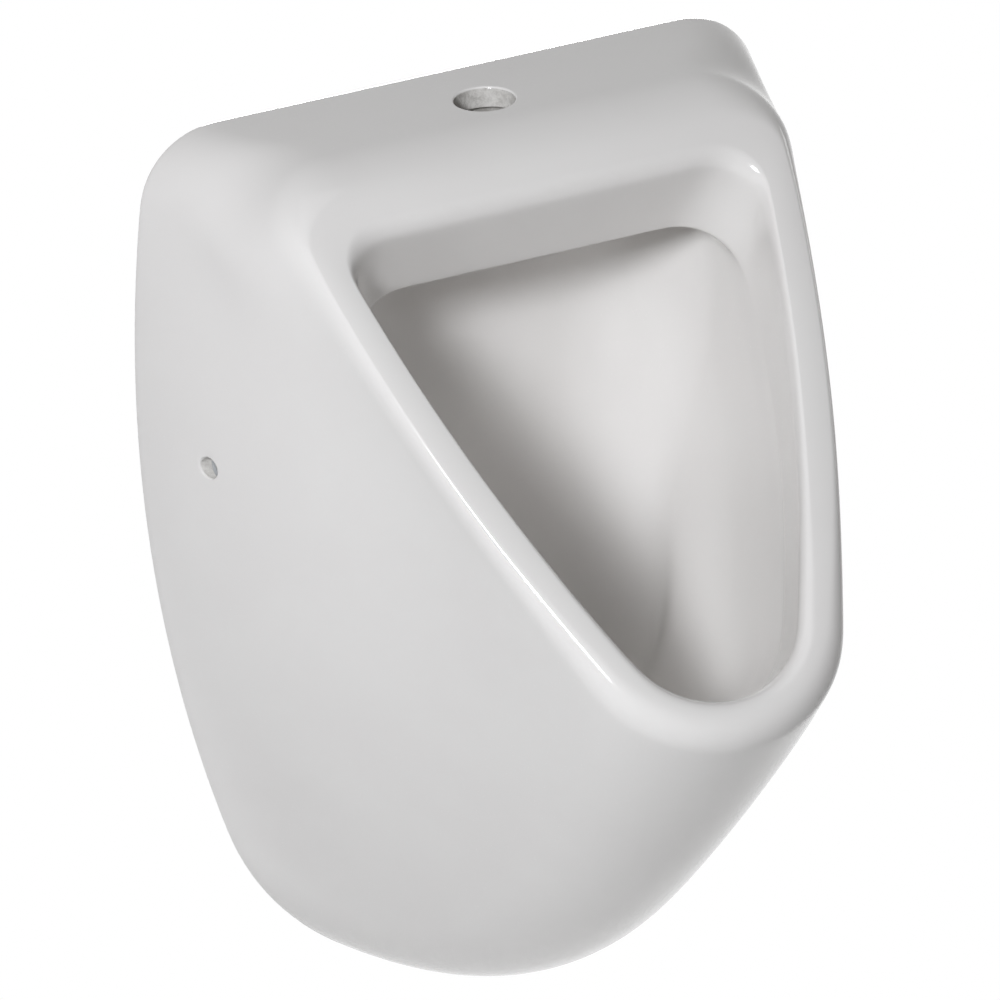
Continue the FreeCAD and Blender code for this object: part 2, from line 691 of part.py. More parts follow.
nut_thick = size("side_nut_thick", 6.5, "thickness of the nut behind the bracket arm")
side_screw_length = size("side_screw_length", 24, "length of the side set screws")
side_screw_sunk = size("side_screw_sunk", 21, "set screw's end, in from the full width")
socket_key = size("socket_key", 2.3, "corner radius of the set screw's hexagon socket")
socket_depth = size("socket_depth", 5, "depth of the set screw's hexagon socket")
bush_wall = size("bush_wall", 1, "wall of the nylon bush in the side hole")
bush_flange = size("bush_flange", 8, "radius of the nylon bush's flange")
bush_inset = size("bush_inset", 32.6, "bush flange, in from the full width")
bush_length = size("bush_length", 12.5, "length of the nylon bush")


def slot_sketch(body, name, radius, length, at):
    """Upright slot on the body's XZ plane."""
    sketch = body.newObject("Sketcher::SketchObject", name)
    sketch.AttachmentSupport = [(plane(body, "XZ_Plane"), "")]
    sketch.MapMode = "FlatFace"
    x, middle = plain(at[0]), plain(at[1])
    reach = length.number / 2 - radius.number
    half_turn = math.pi

    def arc(centre_y, start, end):
        circle = Part.Circle(Vector(x, centre_y, 0), Z_AXIS, radius.number)
        return sketch.addGeometry(Part.ArcOfCircle(circle, start, end), False)

    def line(across, start, end):
        return sketch.addGeometry(Part.LineSegment(Vector(x + across, start, 0),
                                                   Vector(x + across, end, 0)), False)

    upper = arc(middle + reach, 0, half_turn)
    left = line(-radius.number, middle + reach, middle - reach)
    lower = arc(middle - reach, half_turn, 2 * half_turn)
    right = line(radius.number, middle - reach, middle + reach)
    rule = Sketcher.Constraint
    outline = [upper, left, lower, right]
    for here, after in zip(outline, outline[1:] + outline[:1]):
        sketch.addConstraint(rule("Tangent", here, 2, after, 1))
    sketch.addConstraint(rule("Equal", upper, lower))
    sketch.addConstraint(rule("Vertical", left))
    bindings = [(("Radius", upper), radius),
                (("DistanceY", lower, 3, upper, 3), length - radius * 2),
                (("DistanceX", -1, 1, upper, 3), at[0]),
                (("DistanceY", -1, 1, upper, 3), at[1] + length / 2 - radius)]
    for constraint, dim in bindings:
        index = sketch.addConstraint(rule(*constraint, dim.number))
        sketch.setExpression(f"Constraints[{index}]", dim.text)
    return sketch


def wall_bracket(label, side):
    """Bent steel angle: wall plate with a slot, and an arm for the side screw."""
    body = new_body(label)
    arm_x = half_width - arm_inset
    outline = profile(body, "angle_profile", "XY_Plane", [
        (arm_x * side, 0), (arm_x * side, -arm_reach), ((arm_x - plate) * side, -arm_reach),
        ((arm_x - plate) * side, -plate), ((arm_x - foot_width) * side, -plate),
        ((arm_x - foot_width) * side, 0)])
    angle = body.newObject("PartDesign::Pad", "angle")
    angle.Profile = outline
    bind(angle, Length=bracket_tall)
    doc.recompute()
    bends = []
    for number, edge in enumerate(angle.Shape.Edges, 1):
        middle = edge.valueAt((edge.FirstParameter + edge.LastParameter) / 2)
        upright = abs(edge.BoundBox.ZLength - bracket_tall.number) < 0.01
        inner = Vector((arm_x - plate).number * side, -plate.number, middle.z)
        if upright and (middle - inner).Length < 0.01:
            bends.append(f"Edge{number}")
    bend = body.newObject("PartDesign::Fillet", "bend")
    bend.Base = (angle, bends)
    bind(bend, Radius=bend_radius)
    slot = body.newObject("PartDesign::Pocket", "wall_slot")
    slot.Profile = slot_sketch(body, "wall_slot_profile", screw_radius + gap * 2, slot_length,
                               ((half_width - screw_inset) * side, bracket_tall / 2))
    slot.Type = 1
    slot.Midplane = True
    hole = body.newObject("PartDesign::Pocket", "screw_hole")
    hole.Profile = circle_sketch(body, "screw_hole_profile", "YZ_Plane", screw_radius + gap,
                                 (-fixing_out, bracket_tall / 2))
    hole.Type = 1
    hole.Midplane = True
    return place(body, (0, 0, fixing_up - bracket_tall / 2))


def hexagon(name, radius, tall, at, axis=Z_AXIS, angle=0):
    thing = bind(doc.addObject("Part::Prism", name), Circumradius=radius, Height=tall)
    thing.Polygon = 6
    return place(thing, at, axis, angle)


def fixing_set(hand, side):
    """Bracket, wall screw, washer, plug, side screw, nut and bush of one side."""
    screw_x = (half_width - screw_inset) * side
    arm_x = (half_width - arm_inset) * side
    outward = QUARTER_TURN * side
    head_y = -plate - washer_thick - head_thick
    wall_screw = joined(f"wall_screw_{hand}", [
        hexagon(f"head_{hand}", head_across, head_thick, (screw_x, head_y, fixing_up), X_AXIS,
                -QUARTER_TURN),
        cylinder(f"shank_{hand}", screw_radius, head_thick + washer_thick + plate + screw_in_wall,
                 (screw_x, head_y, fixing_up), X_AXIS, -QUARTER_TURN)])
    screw_start = (half_width - side_screw_sunk - side_screw_length) * side
    socket_start = (half_width - side_screw_sunk - socket_depth) * side
    side_screw = cut(f"side_screw_{hand}",
                     cylinder(f"side_stud_{hand}", screw_radius, side_screw_length,
                              (screw_start, -fixing_out, fixing_up), Y_AXIS, outward),
                     hexagon(f"side_key_{hand}", socket_key, socket_depth + 1,
                             (socket_start, -fixing_out, fixing_up), Y_AXIS, outward))
    nut_x = arm_x - (plate + nut_thick) * side
    side_nut = cut(f"side_nut_{hand}",
                   hexagon(f"side_nut_blank_{hand}", head_across, nut_thick,
                           (nut_x, -fixing_out, fixing_up), Y_AXIS, outward),
                   cylinder(f"side_nut_bore_{hand}", screw_radius + gap, nut_thick,
                            (nut_x, -fixing_out, fixing_up), Y_AXIS, outward))
    bush = new_body(f"side_bush_{hand}")
    inner = screw_radius + gap / 2
    turned(bush, [(inner, 0), (bush_flange, 0), (bush_flange, bush_wall * 2),
                  (inner + bush_wall, bush_wall * 2), (inner + bush_wall, bush_length),
                  (inner, bush_length)])
    place(bush, ((half_width - bush_inset) * side, -fixing_out, fixing_up), Y_AXIS, outward)
    return [
        wall_bracket(f"wall_bracket_{hand}", side),
        ring(f"washer_{hand}", screw_radius + gap, washer_radius, washer_thick,
             (screw_x, -plate, fixing_up), X_AXIS, QUARTER_TURN),
        wall_screw,
        ring(f"wall_plug_{hand}", screw_radius + gap / 2, plug_radius, plug_length,
             (screw_x, 0, fixing_up), X_AXIS, -QUARTER_TURN),
        side_screw, side_nut, bush,
    ]


# ------------------------------------------------------------ build and export
pieces = [ceramic_body()] + waste_and_trap() + fixing_set("left", -1) + fixing_set("right", 1)
doc.recompute()

for thing in doc.Objects:
    if "Invalid" in thing.State or "Error" in thing.State:
        raise RuntimeError(f"{thing.Label} failed: {thing.State}")
for piece in pieces:
    shape = piece.Shape
    if shape.isNull() or not shape.isValid() or not shape.Solids:
        raise RuntimeError(f"{piece.Label} has no valid solid")

os.makedirs("parts", exist_ok=True)
for piece in pieces:
    piece.Shape.exportStep(f"parts/{piece.Label}.step")
    box_size = piece.Shape.BoundBox
    print(f"{piece.Label}: {len(piece.Shape.Solids)} solid, {piece.Shape.Volume / 1000:.2f} ml, "
          f"{box_size.XLength:.1f} x {box_size.YLength:.1f} x {box_size.ZLength:.1f}")
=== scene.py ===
import json
import math
import bmesh
import bpy
import numpy as np
from mathutils import Matrix, Vector
from mathutils.bvhtree import BVHTree


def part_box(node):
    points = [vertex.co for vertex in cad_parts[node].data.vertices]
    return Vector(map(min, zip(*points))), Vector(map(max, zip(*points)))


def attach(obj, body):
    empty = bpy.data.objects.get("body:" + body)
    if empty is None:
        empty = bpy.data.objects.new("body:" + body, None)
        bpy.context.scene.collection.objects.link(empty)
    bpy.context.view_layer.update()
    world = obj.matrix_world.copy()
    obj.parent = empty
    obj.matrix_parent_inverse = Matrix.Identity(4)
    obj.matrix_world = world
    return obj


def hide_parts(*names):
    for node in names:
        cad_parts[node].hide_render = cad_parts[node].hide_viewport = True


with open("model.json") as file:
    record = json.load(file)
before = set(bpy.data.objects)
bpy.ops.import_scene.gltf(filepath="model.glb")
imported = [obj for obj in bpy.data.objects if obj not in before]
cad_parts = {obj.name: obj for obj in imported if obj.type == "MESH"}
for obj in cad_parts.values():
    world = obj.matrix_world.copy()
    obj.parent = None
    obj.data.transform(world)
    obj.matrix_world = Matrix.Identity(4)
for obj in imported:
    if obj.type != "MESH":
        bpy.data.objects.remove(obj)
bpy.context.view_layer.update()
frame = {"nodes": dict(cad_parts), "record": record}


# ------------------------------------------------------------------ bowl, form
# The bowl is one hollow slip casting of vitreous china.  Its outer skin runs from
# the flat back ring to the sloping rim, turns over the lip into the throat, and
# behind the crease widens to the bowl, which narrows again to the round sump.
MM = 0.001                # the pieces' sizes are in millimetres, the scene is in metres
scene = bpy.context.scene
china_low, china_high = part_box("ceramic_body")
HALF_WIDTH = (china_high.x - china_low.x) / 2 / MM
TOP = china_high.z / MM
CHINA_WALL = 11

# Columns of the mesh on half an outline: flat top, corner, long side and foot.
TOP_COLUMNS, CORNER_COLUMNS, SIDE_COLUMNS, FOOT_COLUMNS = 16, 16, 46, 26
OUTLINE_SOFTNESS = 4.5    # how far the arcs of an outline blend into each other


def bowl_outline(tall, inset, foot, side, corner):
    """Points (across, along) of an outline: flat top, corners, long sides and round foot."""
    half = HALF_WIDTH - inset
    turn = math.asin((side - half) / (side - foot))
    side_x = half - side
    side_y = foot + (side - foot) * math.cos(turn)
    lift = tall - corner - side_y
    corner_x = side_x + math.sqrt((side - corner) ** 2 - lift ** 2)
    corner_turn = math.atan2(lift, corner_x - side_x)

    def arc(x, y, radius, start, end, count):
        turns = np.linspace(start, end, count, endpoint=False)
        return np.column_stack([x + radius * np.cos(turns), y + radius * np.sin(turns)])

    quarter = math.pi / 2
    stations = [TOP_COLUMNS, CORNER_COLUMNS, SIDE_COLUMNS, FOOT_COLUMNS]
    lengths = [corner_x, corner * (quarter - corner_turn), side * (corner_turn + quarter - turn),
               foot * turn]
    fine = 80
    flat = np.column_stack([np.linspace(0, corner_x, fine, endpoint=False), np.full(fine, tall)])
    half_line = np.concatenate([
        flat,
        arc(corner_x, tall - corner, corner, quarter, corner_turn, fine),
        arc(side_x, side_y, side, corner_turn, turn - quarter, fine * 4),
        arc(0, foot, foot, turn - quarter, -quarter, fine * 2),
        [[0, 0]]])
    return soften(mirrored(half_line), column_stations(lengths, stations))


def mirrored(half_line):
    """Close a half outline, from top middle to foot, with its mirror image."""
    other = half_line[-2:0:-1] * (-1, 1)
    return np.concatenate([half_line, other])


def column_stations(lengths, counts):
    """Places of the columns round the outline, as lengths from the top's middle."""
    ends = np.concatenate([[0], np.cumsum(lengths)])
    half = np.concatenate([np.linspace(start, end, count, endpoint=False)
                           for start, end, count in zip(ends, ends[1:], counts)])
    return np.concatenate([half, [ends[-1]], 2 * ends[-1] - half[:0:-1]])


def soften(loop, stations):
    """Blend the joints between arcs and pick the columns' points."""
    steps = np.linalg.norm(np.roll(loop, -1, axis=0) - loop, axis=1)
    along = np.concatenate([[0], np.cumsum(steps)])
    closed = np.concatenate([loop, loop[:1]])
    count = 2048
    even = np.arange(count) * along[-1] / count
    points = np.column_stack([np.interp(even, along, closed[:, axis]) for axis in (0, 1)])
    waves = np.fft.fftfreq(count, along[-1] / count)
    blur = np.exp(-2 * (math.pi * waves * OUTLINE_SOFTNESS) ** 2)
    smooth = np.real(np.fft.ifft(np.fft.fft(points, axis=0) * blur[:, None], axis=0))
    smooth = np.concatenate([smooth, smooth[:1]])
    ends = np.append(even, along[-1])
    return np.column_stack([np.interp(stations, ends, smooth[:, axis]) for axis in (0, 1)])


class Section:
    """An outline stood up between a foot point and a top point, both (out, up)."""

    def __init__(self, foot_point, top_point, inset, foot, side, corner):
        self.foot_point = np.array(foot_point, float)
        self.top_point = np.array(top_point, float)
        self.shape = (inset, foot, side, corner)
        reach = self.top_point - self.foot_point
        self.tall = np.linalg.norm(reach)
        self.along = reach / self.tall
        self.square = np.array([self.along[1], -self.along[0]])

    def grown(self, amount):
        inset, *radii = self.shape
        return Section(self.foot_point - self.along * amount, self.top_point + self.along * amount,
                       inset - amount, *(radius + amount for radius in radii))

    def set_back(self, amount):
        return Section(self.foot_point + self.square * amount, self.top_point + self.square * amount,
                       *self.shape)

    def points(self):
        flat = bowl_outline(self.tall, *self.shape)
        out_up = self.foot_point + flat[:, 1:] * self.along
        return np.column_stack([flat[:, 0], out_up])


# Foot point, top point (Y, Z), inset from the full width, foot, side and corner radius.
back = Section((0, 0), (0, TOP), 0, 147, 789, 41)
rear = Section((-72, 22), (-24, TOP), 11, 90, 576, 39.5)
waist = Section((-182, 107), (-43, TOP), 22.5, 63, 690, 47)
rim = Section((-323, 260), (-86, TOP), 37.4, 70.5, 963, 28)
LIP_BAND, TOP_BAND = 22.7, 35.6
mouth = Section(rim.foot_point + rim.along * LIP_BAND, rim.top_point - rim.along * TOP_BAND,
                50.5, 45.7, 1000, 21.3)
crease = Section((-264.3, 240.3), (-93.2, TOP - 65.7), 70.7, 59.8, 558, 31)


def behind_crease(depth, rise, top_out, *shape):
    """Section of the bowl parallel to the crease."""
    foot = crease.foot_point + crease.square * depth + crease.along * rise
    top_up = foot[1] + (-top_out - foot[0]) * crease.along[1] / crease.along[0]
    return Section(foot, (-top_out, top_up), *shape)


vault = behind_crease(22, 5, 62, 70, 60, 560, 36)
deep = behind_crease(60, 15, 40, 71, 58, 560, 48)
deeper = behind_crease(112, 46, 36, 79, 54, 560, 46)
DRAIN_OUT, DRAIN_HOLE, DRAIN_EDGE, SEAT_RADIUS = 80, 22.5, 1.5, 33
SUMP_FLOOR, SUMP_FOOT = 186, 32


def spline(stations, keys, at):
    """Smooth curve through key rows at their stations; `at` has a value per column."""
    stations = np.asarray(stations, float)
    slopes = []
    for index in range(len(keys)):
        before, after = max(index - 1, 0), min(index + 1, len(keys) - 1)
        if index in (0, len(keys) - 1):
            slopes.append((keys[after] - keys[before]) / (stations[after] - stations[before]))
            continue
        left = (keys[index] - keys[before]) / (stations[index] - stations[before])
        right = (keys[after] - keys[index]) / (stations[after] - stations[index])
        weight = (stations[index] - stations[before]) / (stations[after] - stations[before])
        slopes.append(left * (1 - weight) + right * weight)
    at = np.broadcast_to(at, keys[0].shape[:1])
    span = np.clip(np.searchsorted(stations, at, side="right") - 1, 0, len(keys) - 2)
    keys, slopes = np.array(keys), np.array(slopes)
    column = np.arange(len(at))
    length = stations[span + 1] - stations[span]
    share = ((at - stations[span]) / length)[:, None]
    length = length[:, None]
    start, end = keys[span, column], keys[span + 1, column]
    leave, arrive = slopes[span, column] * length, slopes[span + 1, column] * length
    return ((2 * share ** 3 - 3 * share ** 2 + 1) * start
            + (share ** 3 - 2 * share ** 2 + share) * leave
            + (3 * share ** 2 - 2 * share ** 3) * end + (share ** 3 - share ** 2) * arrive)


def cubic(stations, keys, at):
    """The single cubic through four rows."""
    total = 0
    for here, key in zip(stations, keys):
        weight = np.ones_like(at, float)
        for other in stations:
            if other != here:
                weight = weight * (at - other) / (here - other)
        total = total + np.asarray(weight)[..., None] * key
    return total


def stations_of(keys):
    """Stations of rows from 0 to 1 by their mean distances."""
    gaps = [np.linalg.norm(after - before, axis=1).mean() for before, after in zip(keys, keys[1:])]
    along = np.concatenate([[0], np.cumsum(gaps)])
    return along / along[-1]


def station_at(curve, distance):
    """Per column, the station that lies a distance before the end of the curve."""
    fine = np.linspace(0, 1, 401)
    rows = np.array([curve(np.full(COLUMNS, value)) for value in fine])
    steps = np.linalg.norm(np.diff(rows, axis=0), axis=2)
    to_end = np.concatenate([np.cumsum(steps[::-1], axis=0)[::-1], np.zeros((1, COLUMNS))])
    return np.array([np.interp(-distance[column], -to_end[:, column], fine)
                     for column in range(COLUMNS)])


def turn_over(start, corner, end, count):
    """Rows of a soft edge that starts and ends on the two sides of a sharp corner."""
    handle = 0.56
    first, last = start + (corner - start) * handle, end + (corner - end) * handle
    rows = []
    for share in np.linspace(0, 1, count + 2):
        rest = 1 - share
        rows.append(start * rest ** 3 + first * 3 * rest ** 2 * share
                    + last * 3 * rest * share ** 2 + end * share ** 3)
    return rows


skin_keys = [section.points() for section in (back, rear, waist, rim)]
COLUMNS = len(skin_keys[0])
skin_stations = stations_of(skin_keys)
from_top = np.minimum(np.arange(COLUMNS), COLUMNS - np.arange(COLUMNS))


def by_place(top, side, foot):
    """A size per column that changes smoothly from the top to the sides and the foot."""
    def ease(value):
        value = np.clip(value, 0, 1)
        return value * value * (3 - 2 * value)
    to_side = ease((from_top - TOP_COLUMNS * 0.8) / (CORNER_COLUMNS * 1.6))
    to_foot = ease((from_top - TOP_COLUMNS - CORNER_COLUMNS - SIDE_COLUMNS * 0.55)
                   / (SIDE_COLUMNS * 0.45 + FOOT_COLUMNS * 0.4))
    return top + (side - top) * to_side + (foot - side) * to_foot


def skin(at):
    return cubic(skin_stations, skin_keys, at)


def unit(rows):
    return rows / np.linalg.norm(rows, axis=1)[:, None]


rim_row, mouth_row, crease_row = (section.points() for section in (rim, mouth, crease))
face_way = unit(mouth_row - rim_row)
throat_way = unit(crease_row - mouth_row)

# Soft edges of the rim: reach down the skin, across the face and into the throat.
outer_skin_reach = by_place(21, 13, 14)
outer_face_reach = by_place(20, 7.2, 12.5)
inner_face_reach = by_place(8, 5.2, 8.5)
inner_throat_reach = by_place(9, 10, 10)

rows = []
BACK_EDGE = 2.0
back_edge = station_at(lambda at: skin(1 - at), np.full(COLUMNS, BACK_EDGE))
skin_start = 1 - back_edge
skin_end = station_at(skin, outer_skin_reach)
back_inner = back.grown(-CHINA_WALL).points()
back_row = skin_keys[0]
inward = unit(back_inner - back_row)
rows += turn_over(back_row + inward * BACK_EDGE, back_row, skin(skin_start), count=3)
SKIN_ROWS = 56
rows += [skin(skin_start + (skin_end - skin_start) * share)
         for share in np.linspace(0, 1, SKIN_ROWS)[1:-1]]
rows += turn_over(skin(skin_end), rim_row, rim_row + face_way * outer_face_reach[:, None], count=9)
throat_start = mouth_row + throat_way * inner_throat_reach[:, None]
rows += turn_over(mouth_row - face_way * inner_face_reach[:, None], mouth_row, throat_start,
                  count=8)
CREASE_EDGE = 1.6
bowl_keys = [section.points() for section in (crease, vault, deep, deeper)]


def round_row(radius, up, across=None, middle=-DRAIN_OUT, rise=0):
    """Circle or oval about the drain whose columns follow the section before it."""
    guide, spread = bowl_keys[3], 1.25       # the spread evens out the columns round the circle
    turns = np.arctan2(guide[:, 0], -(guide[:, 1] - guide[:, 1].mean()) * spread)
    return np.column_stack([(across or radius) * np.sin(turns), middle - radius * np.cos(turns),
                            up - rise * np.cos(turns)])


# The bowl's floor gathers in an oval, low in front and high behind, over the sump.
GATHER_RADIUS, GATHER_ACROSS, GATHER_MIDDLE, GATHER_RISE = 44, 54, -79, 22
gather = round_row(GATHER_RADIUS, 212, GATHER_ACROSS, GATHER_MIDDLE, GATHER_RISE)
bowl_keys += [gather, round_row(SUMP_FOOT, SUMP_FLOOR + 3)]
bowl_stations = stations_of(bowl_keys)


def bowl(at):
    return spline(bowl_stations, bowl_keys, at)


bowl_start = 1 - station_at(lambda at: bowl(1 - at), np.full(COLUMNS, CREASE_EDGE))
THROAT_ROWS, BOWL_ROWS = 12, 64
throat_end = crease_row - throat_way * CREASE_EDGE
rows += [throat_start + (throat_end - throat_start) * share
         for share in np.linspace(0, 1, THROAT_ROWS)[1:-1]]
rows += turn_over(throat_end, crease_row, bowl(bowl_start), count=3)
rows += [bowl(bowl_start + (1 - bowl_start) * share) for share in np.linspace(0, 1, BOWL_ROWS)[1:]]
floor_row, floor_edge = round_row(SUMP_FOOT, SUMP_FLOOR), round_row(SUMP_FOOT - 5, SUMP_FLOOR)
rows += turn_over(bowl_keys[-1], floor_row, floor_edge, count=3)[1:]
glazed_rows = len(rows)
rows += turn_over(round_row(DRAIN_HOLE + DRAIN_EDGE, SUMP_FLOOR), round_row(DRAIN_HOLE, SUMP_FLOOR),
                  round_row(DRAIN_HOLE, SUMP_FLOOR - DRAIN_EDGE), count=2)
sump_outside = round_row(SUMP_FOOT + CHINA_WALL, SUMP_FLOOR - CHINA_WALL + 6)
rows += [round_row(radius, SUMP_FLOOR - CHINA_WALL) for radius in (DRAIN_HOLE, SEAT_RADIUS)]
rows.append(sump_outside)

# Hidden side: the bowl's outside, the back of the rim and the skin's inside.
RIM_DEPTH = 26
under_keys = [sump_outside, round_row(GATHER_RADIUS + CHINA_WALL, 206, GATHER_ACROSS + CHINA_WALL,
                                      GATHER_MIDDLE, GATHER_RISE)]
under_keys += [section.grown(CHINA_WALL).points() for section in (deeper, deep, vault, crease)]
under_stations = stations_of(under_keys)
UNDER_ROWS = 30
rows += [spline(under_stations, under_keys, np.full(COLUMNS, share))
         for share in np.linspace(0, 1, UNDER_ROWS)[1:]]
throat_back = mouth.grown(CHINA_WALL).points()
out_of_face = np.array([0, -rim.square[0], -rim.square[1]])
crease_back = under_keys[-1]
depth = (rim_row[0] - crease_back) @ out_of_face
share_at_rim = (RIM_DEPTH / depth)[:, None]
front_row = throat_back + (crease_back - throat_back) * share_at_rim
rows += [crease_back + (front_row - crease_back) * share for share in (0.35, 0.7, 1)]
inner_keys = [rim.set_back(RIM_DEPTH).grown(-CHINA_WALL - 1).points()]
inner_keys += [section.grown(-CHINA_WALL).points() for section in (waist, rear, back)]
inner_stations = stations_of(inner_keys)
INNER_ROWS = 34
rows += [cubic(inner_stations, inner_keys, np.full(COLUMNS, share))
         for share in np.linspace(0, 1, INNER_ROWS)]


def cast_shell(name, rows, bare_from):
    """Closed mesh of rows that run round; rows from `bare_from` on have no glaze."""
    count, columns = len(rows), len(rows[0])
    mesh = bpy.data.meshes.new(name)
    points = (np.array(rows) * MM).reshape(-1, 3)
    faces, bare = [], []
    for row in range(count):
        after = (row + 1) % count
        for column in range(columns):
            beside = (column + 1) % columns
            faces.append((row * columns + column, after * columns + column,
                          after * columns + beside, row * columns + beside))
            bare.append(row >= bare_from)
    mesh.from_pydata(points.tolist(), [], faces)
    mesh.polygons.foreach_set("material_index", np.array(bare, np.int32))
    mesh.update()
    return mesh


china_mesh = cast_shell("ceramic_bowl", rows, glazed_rows)
shell = bmesh.new()
shell.from_mesh(china_mesh)
bmesh.ops.remove_doubles(shell, verts=shell.verts, dist=0.01 * MM)
bmesh.ops.recalc_face_normals(shell, faces=shell.faces)
shell.to_mesh(china_mesh)
shell.free()
china = bpy.data.objects.new("ceramic_bowl", china_mesh)
scene.collection.objects.link(china)


# ------------------------------------------------------------------ bowl, glaze
# The casting is sprayed with white glaze on every face that shows and fired once.
# The bores, the back of the rim and the inside of the skin stay bare and rough.
class Wire:
    """A node's output that can be used in sums; each sum adds a Math node."""

    def __init__(self, graph, socket):
        self.graph, self.socket = graph, socket

    def sum(self, operation, *values):
        return self.graph.add("ShaderNodeMath", {"operation": operation}, dict(enumerate(values)))

    def __add__(self, other):
        return self.sum("ADD", self, other)

    def __sub__(self, other):
        return self.sum("SUBTRACT", self, other)

    def __rsub__(self, other):
        return self.sum("SUBTRACT", other, self)

    def __mul__(self, other):
        return self.sum("MULTIPLY", self, other)

    def __truediv__(self, other):
        return self.sum("DIVIDE", self, other)

    def __rtruediv__(self, other):
        return self.sum("DIVIDE", other, self)

    __radd__, __rmul__ = __add__, __mul__


class Graph:
    """A node tree that is built by calls."""

    def __init__(self, tree):
        self.tree = tree

    def feed(self, node, values):
        for name, value in values.items():
            socket = node.inputs[name]
            if isinstance(value, Wire):
                self.tree.links.new(value.socket, socket)
            elif socket.type == "RGBA" and len(value) == 3:
                socket.default_value = (*value, 1)
            else:
                socket.default_value = value

    def add(self, kind, settings, values, output=0):
        node = self.tree.nodes.new(kind)
        for name, value in settings.items():
            setattr(node, name, value)
        self.feed(node, values)
        return Wire(self, node.outputs[output])

    def noise(self, where, scale, detail=2, roughness=0.5):
        return self.add("ShaderNodeTexNoise", {}, {"Vector": where, "Scale": scale, "Detail": detail,
                                                   "Roughness": roughness}, "Fac")

    def band(self, value, low, high):
        """0 below one value, 1 above the other and a soft step between them."""
        return self.add("ShaderNodeMapRange", {"interpolation_type": "SMOOTHSTEP"},
                        {"Value": value, "From Min": low, "From Max": high}, "Result")

    def tone(self, share, first, second):
        return self.add("ShaderNodeMix", {"data_type": "RGBA"},
                        {"Factor": share, 6: first, 7: second}, 2)

    def relief(self, height):
        """Normal of a surface with this height in metres."""
        return self.add("ShaderNodeBump", {}, {"Height": height, "Distance": 1.0, "Strength": 1.0})


def new_finish(name, even, vary):
    """Material whose even values sit on the shader; vary(graph, where) gives the others."""
    material = bpy.data.materials.new(name)
    material.use_nodes = True
    graph = Graph(material.node_tree)
    shader = material.node_tree.nodes["Principled BSDF"]
    graph.feed(shader, even)
    where = graph.add("ShaderNodeTexCoord", {}, {}, "Object")
    graph.feed(shader, vary(graph, where))
    return material


GLAZE_WHITE, GLAZE_SHADE = (0.815, 0.802, 0.785), (0.795, 0.778, 0.763)
BARE_PALE, BARE_DARK = (0.69, 0.675, 0.65), (0.53, 0.515, 0.49)
BARE_SLOT = 1             # place of the bare china in the bowl's list of materials


def glazed(graph, where):
    thick = graph.noise(where, 9, 2)          # where the spray lay thicker
    ripple = graph.noise(where, 42, 1)        # slow ripple of the fired glaze
    peel = graph.noise(where, 520, 1)         # fine orange peel
    pin = graph.band(graph.noise(where, 1900, 0), 0.79, 0.84)       # rare pinholes
    return {"Base Color": graph.tone(graph.band(thick, 0.34, 0.68), GLAZE_WHITE, GLAZE_SHADE),
            "Roughness": 0.085 + thick * 0.07 + pin * 0.25,
            "Normal": graph.relief(ripple * 0.00011 + peel * 0.0000045 - pin * 0.00003)}


def bare(graph, where):
    blotch = graph.noise(where, 210, 5, 0.62)
    grain = graph.noise(where, 1300, 3, 0.6)
    return {"Base Color": graph.tone(graph.band(blotch * 0.7 + grain * 0.3, 0.4, 0.62),
                                     BARE_PALE, BARE_DARK),
            "Roughness": 0.78 + grain * 0.2,
            "Normal": graph.relief(blotch * 0.0007 + grain * 0.00016)}


white_glaze = new_finish("white_glaze", {"IOR": 1.52}, glazed)
bare_china = new_finish("bare_china", {"IOR": 1.45}, bare)
china_mesh.materials.append(white_glaze)
china_mesh.materials.append(bare_china)


# ------------------------------------------------------ bowl, inlet and channel
# The flush pipe enters an unglazed bore in the top.  It opens into a channel that is
# cast on behind the top band, from which a row of jets leads down into the bowl.
INLET_OUT, INLET_RADIUS, INLET_EDGE = 43, 15, 1.2
GLAZE_REACH, CUT_PAST = 0.7, 3    # how far the glaze runs in, and how far the cut stands out
CHANNEL_HALF, CHANNEL_FRONT, CHANNEL_BACK = 62, 68, 26
CHANNEL_FLOOR, CHANNEL_ROOF = TOP - 45, TOP - 25
BLOCK_BELOW, BLOCK_ABOVE, BLOCK_EDGE, CHANNEL_EDGE = 15, 12, 5, 3
JET_COUNT, JET_STEP, JET_RADIUS, JET_OUT, JET_LENGTH = 7, 16, 3, 62, 34
JET_MIDDLE = CHANNEL_FLOOR - 14


def closed_mesh(name, shell):
    """Object for a bmesh whose normals are put right."""
    bmesh.ops.recalc_face_normals(shell, faces=shell.faces)
    mesh = bpy.data.meshes.new(name)
    shell.to_mesh(mesh)
    shell.free()
    piece = bpy.data.objects.new(name, mesh)
    scene.collection.objects.link(piece)
    return piece


def turned(name, profile, place, count=72, bare_below=None):
    """Solid turned about +Z through (radius, height) points in mm, then placed."""
    shell = bmesh.new()
    rings = []
    for radius, high in profile:
        turns = [0] if radius == 0 else [2 * math.pi * step / count for step in range(count)]
        rings.append([shell.verts.new(place @ Vector((radius * math.cos(turn), radius * math.sin(turn),
                                                      high)) * MM) for turn in turns])
    if profile[0][0] > 0:        # a tube: its outline closes on itself
        rings.append(rings[0])
        profile = [*profile, profile[0]]
    for index, (ring, after) in enumerate(zip(rings, rings[1:])):
        for step in range(count):
            corners = [ring[step % len(ring)], ring[(step + 1) % len(ring)],
                       after[(step + 1) % len(after)], after[step % len(after)]]
            face = shell.faces.new(list(dict.fromkeys(corners)))
            if bare_below is not None and profile[index + 1][1] <= bare_below:
                face.material_index = BARE_SLOT
    return closed_mesh(name, shell)


